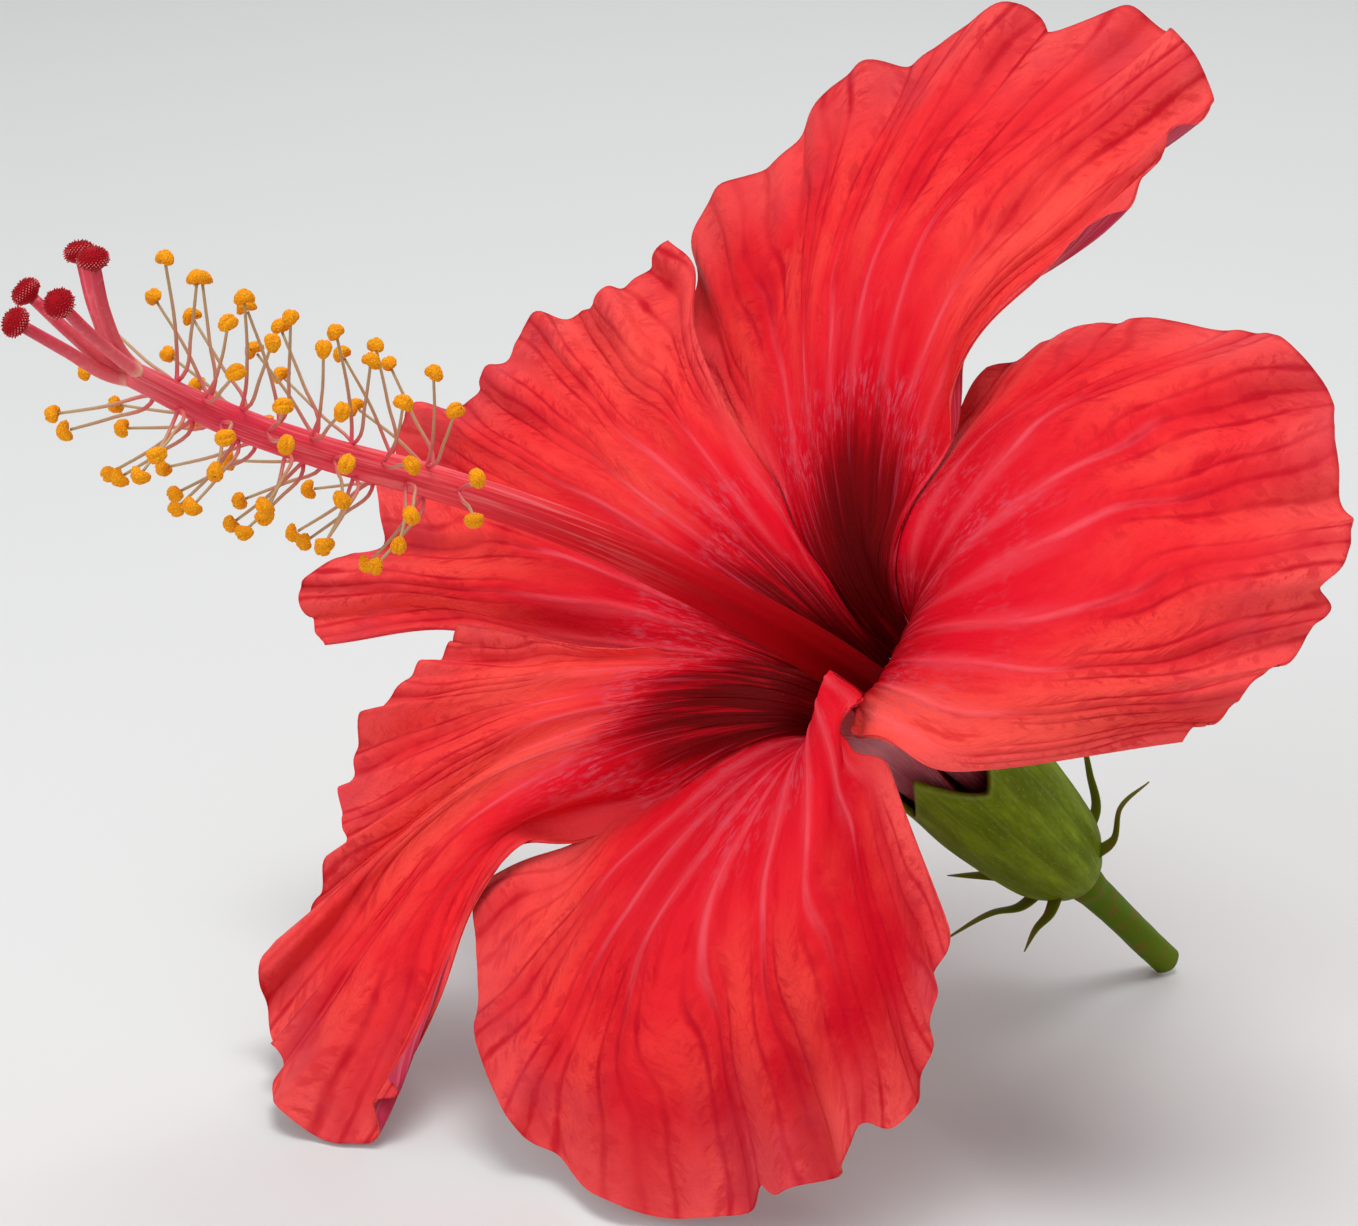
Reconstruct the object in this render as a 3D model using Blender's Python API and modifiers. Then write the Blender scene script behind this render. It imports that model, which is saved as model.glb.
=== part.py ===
"""A hibiscus flower cut with a short stalk and laid on a table.

Everything is modelled in millimetres in the flower's own frame: the origin is
the foot of the calyx, +Z runs up through the throat, and azimuth 0 is the side
that leans to the table. The last step turns the flower to the pose it rests in.
"""
import math

import bmesh
import bpy
from mathutils import Matrix, Vector
from mathutils.bvhtree import BVHTree

MM = 0.001
ASSEMBLY = "hibiscus_flower"

# The pose at rest: how far the throat leans from upright, and towards which heading.
LEAN_DEG = 46.6
LEAN_HEADING_DEG = -140.0

# Petals. Each claw rises inside the calyx, opens into the funnel, then flares.
PETAL_THICK = 0.5
PETAL_ACROSS = 27
PETAL_ALONG = 14
CLAW_FOOT = (3.2, 2.8, 46)            # reach, height, degrees of the circle it takes
CLAW_COLLAR = (5.0, 24.0, 62)
ROW_STATIONS = [0.0, 0.18, 0.42, 0.68, 1.0]
NICK_FADE = 0.70                      # nicks and waves grow outward from this station
WAVE_HEIGHT = 0.5

# Laps: where a petal lies on another it is lifted clear of it, on the mouth's side.
LAP_STEP = 0.55                       # how far a margin stands off its neighbour's in the funnel
LAP_CLEAR = 1.40                      # middle of one sheet to the middle of the other
LAP_SLOPE = 0.6                       # how fast that may shrink past the lower one's margin
LAP_SEARCH = 9.0                      # how far off a petal can be and still matter
LAP_FROM = 14.0                       # the height where the claws leave the calyx's foot
LAP_PASSES = 3                        # rounds of lifting and easing
LAP_EASE = 0.2                        # how much one round smooths what it lifted

# heading: where the claw stands on the ring.
# throat: azimuths, reaches and heights at the first margin, the middle and the last.
# lap: first and last margin, -1 lies inside its neighbour and +1 outside.
# half: (azimuth, reach, height) half way out along the first margin and the last.
# crown: heights half way out at a quarter, a half and three quarters of the width.
# edge: points of the outer edge from the first margin to the last.
# nicks: (share across, half width, depth as a share).
# swells: (share across, half width, share out, half length, degrees round the axis, lift).
# The outermost petal comes first.
PETALS = {
    "petal_lower": {
        "heading": 377, "lap": (1, 1), "waves": 9,
        "throat": ((340, 384, 422), (9, 9, 8.5), (44, 47, 49)),
        "half": ((310, 28, 42.5), (421, 21, 54)), "crown": (47, 51, 54),
        "nicks": [(0.50, 0.03, 0.22), (0.66, 0.03, 0.22), (0.82, 0.04, 0.08), (0.30, 0.03, 0.07)],
        "swells": [(0.0, 0.12, 0.81, 0.10, 4, -1)],
        "edge": [(320, 46, 45.5), (336, 50, 48), (350, 55.5, 47), (359, 58, 44), (370, 59, 41),
                 (381, 57, 39.5), (388, 54.5, 41), (396, 53.5, 43), (404, 49, 44), (409, 43.5, 46),
                 (415, 37, 48)],
    },
    "petal_right": {
        "heading": 91, "lap": (-1, 1), "waves": 8,
        "throat": ((50, 112, 180), (8.5, 8.5, 9), (49, 50, 45)),
        "half": ((68, 24.5, 53), (194, 22, 46.5)), "crown": (56, 56.5, 54),
        "nicks": [(0.42, 0.03, 0.15), (0.55, 0.03, 0.06), (0.75, 0.04, 0.06)],
        "swells": [],
        "edge": [(94, 44, 49), (99, 49, 50.5), (105, 54.5, 52), (112, 58.5, 54), (122, 57, 54),
                 (135, 55.5, 54), (152, 47.5, 53), (168, 39, 52), (184, 33, 49)],
    },
    "petal_upper": {
        "heading": 165, "lap": (-1, 1), "waves": 7,
        "throat": ((168, 203, 238), (9, 9, 9), (45, 45, 45)),
        "half": ((180, 24, 51.5), (237, 28, 50.5)), "crown": (57, 58, 55),
        "nicks": [(0.48, 0.05, 0.40), (0.30, 0.04, 0.10), (0.75, 0.04, 0.08)],
        "swells": [],
        "edge": [(171, 45, 58), (171, 56, 56), (173, 66, 54), (180, 72, 54), (188, 75, 55),
                 (199, 72.5, 58), (209, 67, 60), (218, 61, 60), (230, 58, 57), (239, 47.5, 54)],
    },
    "petal_upper_left": {
        "heading": 236, "lap": (-1, 1), "waves": 8,
        "throat": ((226, 260, 292), (9, 9, 9.4), (45, 45, 44)),
        "half": ((236, 33, 53.5), (287, 38, 48.5)), "crown": (55, 55, 53),
        "nicks": [(0.86, 0.04, 0.16), (0.70, 0.04, 0.10), (0.16, 0.04, 0.10)],
        "swells": [],
        "edge": [(235, 58.5, 57), (243, 57, 58), (251, 62, 58), (260, 61.5, 58), (267, 70.5, 57),
                 (277, 63.5, 57), (284, 71.5, 56), (289.5, 66, 54)],
    },
    "petal_lower_left": {
        "heading": 305, "lap": (-1, -1), "waves": 9,
        "throat": ((286, 320, 350), (9, 9, 9), (45, 45, 45)),
        "half": ((290, 27, 51), (319, 36, 46)), "crown": (52, 51, 49.5),
        "nicks": [(0.68, 0.03, 0.15), (0.40, 0.03, 0.08)],
        "swells": [(1.0, 0.20, 0.58, 0.08, 4, 0), (1.0, 0.20, 0.75, 0.10, -3, 1)],
        "edge": [(287, 47, 54), (293, 51.5, 54), (300, 59.5, 52.5), (310, 60, 52), (317, 65.5, 51),
                 (323, 73, 50), (333, 74.5, 50), (342, 69, 50), (340, 60.5, 49)],
    },
}

# Staminal column: (azimuth, reach, height) along its middle, and its radius there.
COLUMN = [(0, 0, 2.75), (0, 0, 14), (0, 0, 28), (303, 1.4, 44), (335, 5, 67), (347, 9, 84),
          (351, 14.5, 101), (354, 19, 113), (355, 22.5, 124), (356, 24.7, 134)]
COLUMN_RADIUS = [2.3, 2.5, 2.6, 2.4, 2.1, 1.8, 1.6, 1.5, 1.4, 1.1]
COLUMN_SIDES = 12

# Style branches: where each leaves the tip in degrees round it, then the (azimuth,
# reach, height) of its stigma.
STYLES = {
    "style_1": (38, (342, 20, 141.5)), "style_2": (344, (359, 20, 143.7)),
    "style_3": (92, (345, 25, 143.2)), "style_4": (290, (5, 25, 145.5)),
    "style_5": (146, (354, 27.4, 144.6)),
}
STYLE_RADIUS = 0.5
STIGMA_RADIUS = 1.2

# Stamens: forked pairs of filaments set spirally on the outer part of the column.
STAMEN_PAIRS = 34
STAMEN_ZONE = (0.65, 0.965)           # share of the column's length
STAMEN_TURN_DEG = 137.5
STAMEN_LONG = (6.5, 9.5)
FILAMENT_RADIUS = 0.2
ANTHER_RADIUS = 0.68

# Calyx: (radius, height) of the outside, then the wall and the five pointed lobes.
CALYX_OUTSIDE = [(2.6, 0.3), (5.2, 1.0), (6.2, 4.5), (6.9, 12.0), (7.4, 20.0)]
CALYX_FLOOR = (4.5, 2.4)              # radius and height of the floor inside
CALYX_WALL = 0.7
CALYX_SINUS = 27.0
CALYX_LOBE = 7.5
CALYX_LOBE_HEADING = 35
CALYX_AROUND = 30

# Bracts under the calyx: three points of the midrib each, as (azimuth, reach, height).
BRACTS = {
    "bract_1": [(122, 6.7, 3.6), (142, 8.8, 6.6), (142, 13.2, 8.0)],
    "bract_2": [(168, 6.7, 3.4), (180, 9.6, 7.5), (178, 12.5, 14.0)],
    "bract_3": [(350, 6.7, 3.6), (348, 9.0, 7.0), (345, 15.0, 9.4)],
    "bract_4": [(24, 6.7, 3.4), (16, 8.4, 4.6), (9, 10.8, 3.6)],
    "bract_5": [(216, 6.7, 3.4), (218, 8.8, 6.0), (220, 11.5, 9.6)],
    "bract_6": [(262, 6.7, 3.6), (262, 8.8, 6.4), (260, 11.5, 9.8)],
    "bract_7": [(306, 6.7, 3.6), (308, 8.8, 6.2), (310, 11.5, 8.6)],
}
BRACT_HALF_WIDTH = 0.75
BRACT_HALF_THICK = 0.3

# Cut stalk: (height along the axis, radius), from the calyx down to the cut.
STALK = [(0.0, 2.0), (-2.0, 1.9), (-9.0, 1.7), (-19.4, 1.65)]
STALK_SIDES = 14

COLOURS = {
    "petal": (0.78, 0.045, 0.05), "column": (0.62, 0.03, 0.06), "style": (0.45, 0.01, 0.03),
    "stamen": (0.90, 0.42, 0.04), "calyx": (0.20, 0.26, 0.04), "bract": (0.19, 0.20, 0.04),
    "stalk": (0.16, 0.24, 0.03),
}


def polar(azimuth, reach, height):
    """A point from its azimuth in degrees, its reach from the axis and its height."""
    turn = math.radians(azimuth)
    return Vector((reach * math.cos(turn), reach * math.sin(turn), height))


def through(points, stations, where):
    """The point at `where` on a smooth curve through points placed at stations."""
    last = len(points) - 1
    seg = max(i for i in range(last) if i == 0 or stations[i] <= where)

    def slope(i):
        if i == 0:
            return (points[1] - points[0]) / (stations[1] - stations[0])
        if i == last:
            return (points[-1] - points[-2]) / (stations[-1] - stations[-2])
        before = stations[i] - stations[i - 1]
        after = stations[i + 1] - stations[i]
        left = (points[i] - points[i - 1]) / before
        right = (points[i + 1] - points[i]) / after
        return (left * after + right * before) / (before + after)

    span = stations[seg + 1] - stations[seg]
    u = (where - stations[seg]) / span
    return (points[seg] * (2 * u**3 - 3 * u**2 + 1)
            + slope(seg) * (span * (u**3 - 2 * u**2 + u))
            + points[seg + 1] * (3 * u**2 - 2 * u**3)
            + slope(seg + 1) * (span * (u**3 - u**2)))


def along_row(row, share):
    """The point a share (0 to 1) of the way along a row of points."""
    marks = [0.0]
    for before, after in zip(row, row[1:]):
        marks.append(marks[-1] + (after - before).length)
    place = share * (len(row) - 1)
    index = min(int(place), len(row) - 2)
    return through(row, marks, marks[index] + (place - index) * (marks[index + 1] - marks[index]))


def claw_point(petal, row, share):
    """A point on a row inside the calyx or funnel, standing off for its neighbours."""
    azimuth, reach, height = row
    first, last = petal["lap"]
    lap = first * (1 - share) + last * share
    if first == last:
        lap = first * abs(2 * share - 1)
    return polar(azimuth, reach + LAP_STEP * lap * min(1.0, reach - CLAW_FOOT[0]), height)


def half_way(petal, throat, edge, share):
    """The point half way out, drawn between throat and edge and bent by both margins."""
    first_rim, last_rim = [Vector([values[end] for values in petal["throat"]]) for end in (0, -1)]
    first_bend = Vector(petal["half"][0]) - (first_rim + Vector(petal["edge"][0])) / 2
    last_bend = Vector(petal["half"][1]) - (last_rim + Vector(petal["edge"][-1])) / 2
    spot = (throat + edge) / 2 + first_bend * (1 - share) + last_bend * share
    heights = [petal["half"][0][2], *petal["crown"], petal["half"][1][2]]
    return polar(spot.x, spot.y, through(heights, (0.0, 0.25, 0.5, 0.75, 1.0), share))


def petal_rows(petal, share):
    """The five points a petal passes through at one share of the way across it."""
    rows = []
    for reach, height, circle in (CLAW_FOOT, CLAW_COLLAR):
        rows.append((petal["heading"] + (share - 0.5) * circle, reach, height))
    throat = Vector([through(values, (0.0, 0.5, 1.0), share) for values in petal["throat"]])
    edge = along_row([Vector(point) for point in petal["edge"]], share)
    rows = [claw_point(petal, row, share) for row in (*rows, throat)]
    rows.append(half_way(petal, throat, edge, share))
    rows.append(polar(*edge))
    return rows


def swell(petal, share, along, spot):
    """A point of a petal moved by the petal's local swells: round the axis and along it."""
    for centre, across, station, length, degrees, lift in petal["swells"]:
        near = math.exp(-((share - centre) / across) ** 2 - ((along - station) / length) ** 2)
        spot = Matrix.Rotation(math.radians(degrees * near), 3, "Z") @ spot
        spot.z += lift * near
    return spot


def petal_point(petal, share, along):
    """A point of a petal: share runs across it, along runs from the claw to the edge."""
    outer = max(0.0, (along - NICK_FADE) / (1 - NICK_FADE))
    for centre, half_width, depth in petal["nicks"]:
        along -= depth * (1 - NICK_FADE) * outer * math.exp(-((share - centre) / half_width) ** 2)
    last = len(ROW_STATIONS) - 1
    row = max(i for i in range(last) if i == 0 or ROW_STATIONS[i] <= along)
    place = row + (along - ROW_STATIONS[row]) / (ROW_STATIONS[row + 1] - ROW_STATIONS[row])
    spot = swell(petal, share, along, along_row(petal_rows(petal, share), place / last))
    wave = WAVE_HEIGHT * outer ** 2 * math.sin(2 * math.pi * petal["waves"] * share)
    return spot + Vector((0, 0, wave))


# ---- build


def clear_scene():
    """Start from nothing."""
    for thing in list(bpy.data.objects):
        bpy.data.objects.remove(thing, do_unlink=True)


def resting_pose():
    """The turn from the flower's frame to the table's."""
    return (Matrix.Rotation(math.radians(LEAN_HEADING_DEG), 4, "Z")
            @ Matrix.Rotation(math.radians(LEAN_DEG), 4, "Y"))


def material(name, colour, roughness=0.55):
    """One plain Principled material."""
    mat = bpy.data.materials.new(name)
    mat.use_nodes = True
    shader = mat.node_tree.nodes["Principled BSDF"]
    shader.inputs["Base Color"].default_value = (*colour, 1.0)
    shader.inputs["Roughness"].default_value = roughness
    return mat


def add_object(collection, name, mesh_data, kind):
    """Turn a bmesh into a named object in the resting pose, in metres."""
    bmesh.ops.recalc_face_normals(mesh_data, faces=mesh_data.faces)
    mesh_data.transform(Matrix.Scale(MM, 4) @ resting_pose())
    mesh = bpy.data.meshes.new(name)
    mesh_data.to_mesh(mesh)
    mesh_data.free()
    thing = bpy.data.objects.new(name, mesh)
    thing.data.materials.append(material(f"{name}_{kind}", COLOURS[kind]))
    collection.objects.link(thing)
    return thing


def lift_off(sheet, laid):
    """Lift the points of a sheet clear of a petal already laid, on its mouth side."""
    surface = BVHTree.FromBMesh(laid)
    lifted = []
    for vert in sheet.verts:
        spot, outward, _, away = surface.find_nearest(vert.co, LAP_SEARCH)
        if spot is None or vert.co.z < LAP_FROM:
            continue
        over = -outward.dot(vert.co - spot)
        aside = math.sqrt(max(0.0, away ** 2 - over ** 2))
        short = LAP_CLEAR - LAP_SLOPE * aside - over
        if short > 0:
            vert.co -= outward * short
            lifted.append(vert)
    return lifted


def petal_sheet(petal):
    """The middle surface of a petal as a grid of points."""
    sheet = bmesh.new()
    bmesh.ops.create_grid(sheet, x_segments=PETAL_ACROSS - 1, y_segments=PETAL_ALONG - 1, size=0.5)
    for vert in sheet.verts:
        vert.co = petal_point(petal, vert.co.x + 0.5, vert.co.y + 0.5)
    return sheet


def rings_to_solid(rings):
    """Join rings of points into one closed tube, capped flat at both ends."""
    tube = bmesh.new()
    loops = [[tube.verts.new(point) for point in ring] for ring in rings]
    sides = len(rings[0])
    for lower, upper in zip(loops, loops[1:]):
        for i in range(sides):
            j = (i + 1) % sides
            tube.faces.new((lower[i], lower[j], upper[j], upper[i]))
    tube.faces.new(list(reversed(loops[0])))
    tube.faces.new(loops[-1])
    return tube


def tube_rings(path, radii, sides, flat=1.0, across=None):
    """Rings around a path; flat squeezes them and across is the wide direction."""
    rings = []
    wide = across or (path[1] - path[0]).orthogonal()
    thin = (path[1] - path[0]).cross(wide)
    for i, point in enumerate(path):
        ahead = (path[min(i + 1, len(path) - 1)] - path[max(i - 1, 0)]).normalized()
        if abs(wide.normalized().dot(ahead)) > 0.8:
            wide = thin.cross(ahead)
        wide = (wide - ahead * wide.dot(ahead)).normalized()
        thin = ahead.cross(wide)
        ring = []
        for k in range(sides):
            turn = 2 * math.pi * k / sides
            ring.append(point + (wide * math.cos(turn) + thin * (flat * math.sin(turn))) * radii[i])
        rings.append(ring)
    return rings


def smooth_path(points, count):
    """Points spread evenly in share along a smooth curve through the given points."""
    return [along_row(points, i / (count - 1)) for i in range(count)]


def blend(values, share):
    """A value a share of the way along a list."""
    place = share * (len(values) - 1)
    index = min(int(place), len(values) - 2)
    return values[index] + (values[index + 1] - values[index]) * (place - index)


def column_point(share):
    """The middle of the staminal column a share of the way along it."""
    return along_row([polar(*point) for point in COLUMN], share)


def add_petals(collection):
    """The five petals, laid from the outermost to the innermost."""
    laid = []
    for name, petal in PETALS.items():
        sheet = petal_sheet(petal)
        for _ in range(LAP_PASSES):
            lifted = dict.fromkeys(vert for other in laid for vert in lift_off(sheet, other))
            bmesh.ops.smooth_vert(sheet, verts=list(lifted), factor=LAP_EASE,
                                  use_axis_x=True, use_axis_y=True, use_axis_z=True)
        for other in laid:
            lift_off(sheet, other)
        sheet.normal_update()
        laid.append(sheet.copy())
        thing = add_object(collection, name, sheet, "petal")
        shell = thing.modifiers.new("thickness", "SOLIDIFY")
        shell.thickness = PETAL_THICK * MM
        shell.offset = 0.0
        shell.use_even_offset = False


def add_column(collection):
    """The long tube that carries the stamens, closed by a blunt tip."""
    shares = [i / 21 for i in range(22)]
    path = [column_point(share) for share in shares]
    radii = [blend(COLUMN_RADIUS, share) for share in shares]
    path.append(path[-1] + (path[-1] - path[-2]).normalized() * 0.5)
    radii.append(0.6)
    add_object(collection, "staminal_column",
               rings_to_solid(tube_rings(path, radii, COLUMN_SIDES)), "column")


def add_styles(collection):
    """Five style branches leaving the tip of the column, each with its round stigma."""
    tip = column_point(1.0)
    ahead = (tip - column_point(0.97)).normalized()
    up = (Vector((0, 0, 1)) - ahead * ahead.z).normalized()
    for name, (slot, stigma) in STYLES.items():
        turn = math.radians(slot)
        out = up * math.cos(turn) + ahead.cross(up) * math.sin(turn)
        start = tip + ahead * 1.2 + out * 0.95
        end = polar(*stigma)
        middle = start + (end - start) * 0.45 + ahead * 0.8
        path = smooth_path([start, middle, end - (end - middle).normalized() * 0.5], 6)
        radii = [STYLE_RADIUS * 0.7] + [STYLE_RADIUS] * 5
        heading = (path[-1] - path[-2]).normalized()
        for ahead_by, radius in ((0.15, 0.8), (0.7, 1.0), (1.3, 0.8), (1.6, 0.3)):
            path.append(path[5] + heading * ahead_by)
            radii.append(STIGMA_RADIUS * radius)
        add_object(collection, name, rings_to_solid(tube_rings(path, radii, 8)), "style")


def stamen_path(index, side):
    """Middle line of one filament of a forked pair, from its foot to its anther."""
    share = (index + 0.5) / STAMEN_PAIRS
    place = STAMEN_ZONE[0] + (STAMEN_ZONE[1] - STAMEN_ZONE[0]) * share
    centre = column_point(place)
    ahead = (column_point(place + 0.01) - column_point(place - 0.01)).normalized()
    up = Vector((0, 0, 1)).cross(ahead).normalized()
    turn = math.radians(index * STAMEN_TURN_DEG)
    out = up * math.cos(turn) + ahead.cross(up) * math.sin(turn)
    sideways = ahead.cross(out)
    foot = centre + out * (blend(COLUMN_RADIUS, place) + 0.3 + FILAMENT_RADIUS) + sideways * (side * 0.45)
    wobble = math.sin(index * 2.4 + side)
    long = STAMEN_LONG[0] + (STAMEN_LONG[1] - STAMEN_LONG[0]) * (0.5 + 0.5 * wobble)
    spread = sideways * (side * (1.3 + 0.5 * math.sin(index * 1.7)))
    end = foot + out * long * 0.86 + ahead * (long * 0.5 + 0.8 * side) + spread
    return [foot, foot + (end - foot) * 0.4 + out * 0.5, end]


def add_stamens(collection):
    """Each pair is one solid: anther, filament, shared foot, filament, anther."""
    for index in range(STAMEN_PAIRS):
        path, radii = [], []
        for side in (-1, 1):
            arm = smooth_path(stamen_path(index, side), 5)
            heading = (arm[-1] - arm[-2]).normalized()
            arm_radii = [FILAMENT_RADIUS] * 5
            for ahead_by, radius in ((0.1, 0.85), (0.6, 1.0), (1.15, 0.75), (1.35, 0.2)):
                arm.append(arm[4] + heading * ahead_by)
                arm_radii.append(ANTHER_RADIUS * radius)
            if side < 0:
                arm.reverse()
                arm_radii.reverse()
            path += arm
            radii += arm_radii
        add_object(collection, f"stamen_pair_{index + 1:02d}",
                   rings_to_solid(tube_rings(path, radii, 6)), "stamen")


def calyx_rim(azimuth):
    """Height of the calyx rim: pointed lobes between narrow sinuses."""
    phase = ((azimuth - CALYX_LOBE_HEADING) / 72.0) % 1.0
    return CALYX_SINUS + CALYX_LOBE * abs(2 * phase - 1) ** 1.3


def add_calyx(collection):
    """A cup with five lobes, grown as one piece."""
    columns = []
    for i in range(CALYX_AROUND):
        azimuth = 360.0 * i / CALYX_AROUND
        rim = calyx_rim(azimuth)
        halfway = (CALYX_OUTSIDE[-1][1] + rim) / 2
        wall = CALYX_OUTSIDE[2:] + [(7.45, halfway), (7.5 + 0.1 * (rim - CALYX_SINUS), rim)]
        inside = [(radius - CALYX_WALL, height) for radius, height in reversed(wall)]
        profile = CALYX_OUTSIDE[:2] + wall + inside + [CALYX_FLOOR]
        columns.append([polar(azimuth, radius, height) for radius, height in profile])
    rings = [[column[level] for column in columns] for level in range(len(columns[0]))]
    add_object(collection, "calyx", rings_to_solid(rings), "calyx")


def add_bracts(collection):
    """The narrow leaves of the epicalyx, standing off below the cup."""
    for name, midrib in BRACTS.items():
        path = smooth_path([polar(*point) for point in midrib], 8)
        widths = [BRACT_HALF_WIDTH * w for w in (0.75, 1.0, 1.0, 0.95, 0.85, 0.7, 0.5, 0.25)]
        turn = math.radians(midrib[0][0])
        tangent = Vector((-math.sin(turn), math.cos(turn), 0))
        rings = tube_rings(path, widths, 6, flat=BRACT_HALF_THICK / BRACT_HALF_WIDTH, across=tangent)
        add_object(collection, name, rings_to_solid(rings), "bract")


def add_stalk(collection):
    """The cut stalk, ending in a flat cut."""
    path = [Vector((0, 0, height)) for height, _ in STALK]
    rings = tube_rings(path, [radius for _, radius in STALK], STALK_SIDES)
    add_object(collection, "stalk", rings_to_solid(rings), "stalk")


def stand_on_table(collection):
    """Move the flower so its lowest point is on the table and its box is centred."""
    bpy.context.view_layer.update()
    graph = bpy.context.evaluated_depsgraph_get()
    spots = []
    for thing in collection.objects:
        shape = thing.evaluated_get(graph).to_mesh()
        spots += [vert.co.copy() for vert in shape.vertices]
        thing.evaluated_get(graph).to_mesh_clear()
    low = Vector([min(spot[axis] for spot in spots) for axis in range(3)])
    high = Vector([max(spot[axis] for spot in spots) for axis in range(3)])
    shift = Vector((-(low.x + high.x) / 2, -(low.y + high.y) / 2, -low.z))
    for thing in collection.objects:
        thing.data.transform(Matrix.Translation(shift))
    print("moved onto the table by", [round(value / MM, 2) for value in shift])


def main():
    clear_scene()
    collection = bpy.data.collections.new(ASSEMBLY)
    bpy.context.scene.collection.children.link(collection)
    add_petals(collection)
    add_calyx(collection)
    add_bracts(collection)
    add_stalk(collection)
    add_column(collection)
    add_styles(collection)
    add_stamens(collection)
    stand_on_table(collection)


main()
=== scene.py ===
"""The looks of a cut hibiscus flower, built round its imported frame.

Shapes are made in millimetres in the flower's own frame: the origin is the foot
of the calyx, +Z runs up through the throat, and azimuth 0 is the side that leans
to the table. Every mesh is then turned to the pose in which the flower rests.
"""

import functools
import math

import bmesh
import bpy
import numpy as np
from mathutils import Matrix, Vector, noise
from mathutils.bvhtree import BVHTree


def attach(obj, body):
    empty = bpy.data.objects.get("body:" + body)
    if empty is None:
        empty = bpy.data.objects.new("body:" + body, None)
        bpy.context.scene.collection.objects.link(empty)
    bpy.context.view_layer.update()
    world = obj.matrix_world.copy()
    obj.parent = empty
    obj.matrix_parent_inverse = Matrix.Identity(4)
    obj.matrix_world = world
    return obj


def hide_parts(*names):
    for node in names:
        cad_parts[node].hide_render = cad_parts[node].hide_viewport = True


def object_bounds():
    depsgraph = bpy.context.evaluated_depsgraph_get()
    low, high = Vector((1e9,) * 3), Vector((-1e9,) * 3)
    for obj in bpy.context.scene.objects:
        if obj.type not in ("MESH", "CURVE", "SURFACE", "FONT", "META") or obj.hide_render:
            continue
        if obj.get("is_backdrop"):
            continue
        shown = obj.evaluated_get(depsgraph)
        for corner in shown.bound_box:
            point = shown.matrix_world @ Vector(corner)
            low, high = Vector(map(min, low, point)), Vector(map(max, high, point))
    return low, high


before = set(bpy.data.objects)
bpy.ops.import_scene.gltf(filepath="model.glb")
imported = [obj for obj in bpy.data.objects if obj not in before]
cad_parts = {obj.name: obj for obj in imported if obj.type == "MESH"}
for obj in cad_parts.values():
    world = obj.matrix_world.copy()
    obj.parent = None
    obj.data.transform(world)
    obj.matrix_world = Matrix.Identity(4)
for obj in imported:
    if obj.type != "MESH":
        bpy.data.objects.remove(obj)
cad_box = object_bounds()

MM = 0.001
LEAN_DEG = 46.6
LEAN_HEADING_DEG = -140.0
POSE = (Matrix.Rotation(math.radians(LEAN_HEADING_DEG), 3, "Z")
        @ Matrix.Rotation(math.radians(LEAN_DEG), 3, "Y"))

# The camera: how far it looks down, how far it stands from the throat, its field and
# where the calyx's foot lies from the middle of its view (right, up, towards it).
CAMERA_DOWN_DEG = 17.9
CAMERA_AWAY = 377.0
CAMERA_FIELD = 135.8
CAMERA_FOOT = Vector((43.1, -28.5, -28.0))

# The studio: lamps as (place in metres, size, watts), the pale surround and the floor.
LAMPS = {
    "key": ((0.05, -0.1, 0.85), 0.4, 3.8),
    "fill": ((-0.6, -0.6, 0.45), 0.5, 2.5),
    "back": ((0.1, 0.8, 0.6), 0.5, 1.2),
}
SURROUND_COLOUR = (0.95, 0.97, 1.0, 1.0)
SURROUND_STRENGTH = 0.59
FLOOR_RADIUS = 6.0

# Petals as a coarse grid, close to the frame's: see petal_rows for what each value does.
COARSE_ACROSS = 27
COARSE_ALONG = 14
CLAW_FOOT = (3.2, 2.8, 46)            # reach, height, degrees of the circle it takes
CLAW_COLLAR = (5.0, 24.0, 62)
ROW_STATIONS = [0.0, 0.18, 0.42, 0.68, 1.0]
NICK_FADE = 0.7                       # how far out nicks and waves begin
WAVE_HEIGHT = 0.5
LAP_STEP = 0.55                       # how far a claw stands off for its neighbour
LAP_CLEAR = 1.4                       # middle to middle where petals lap
LAP_SLOPE = 0.6
LAP_SEARCH = 9.0
LAP_FROM = 14.0                       # height from which petals are laid on each other
LAP_PASSES = 3
LAP_EASE = 0.2

# Their finer surface.
FINE_ACROSS = 205
FINE_ALONG = 145
FINE_CLEAR = 0.62                     # middle to middle where the thin petals lie together
FINE_LEAST = 0.4                      # the least that evening out may leave of it
FINE_PASSES = 2
SETTLE_REACH = 3.0                    # how far aside of a petal a margin is still drawn to it
PETAL_THICK = (0.5, 0.36, 0.22)       # at the claw, half way out and at the edge
VEINS = 9                             # main veins of a petal
VEIN_FORKS = ((0.25, 0.5), (0.125, 0.64))  # how far apart the forks run, where they begin
VEIN_FORK_LONG = 0.28
VEIN_RIDGE = (0.14, 0.06)             # height or depth, half width in vein spacings
VEIN_GROOVE = (0.26, 0.09)
FORK_GROOVE = (0.12, 0.07)

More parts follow.
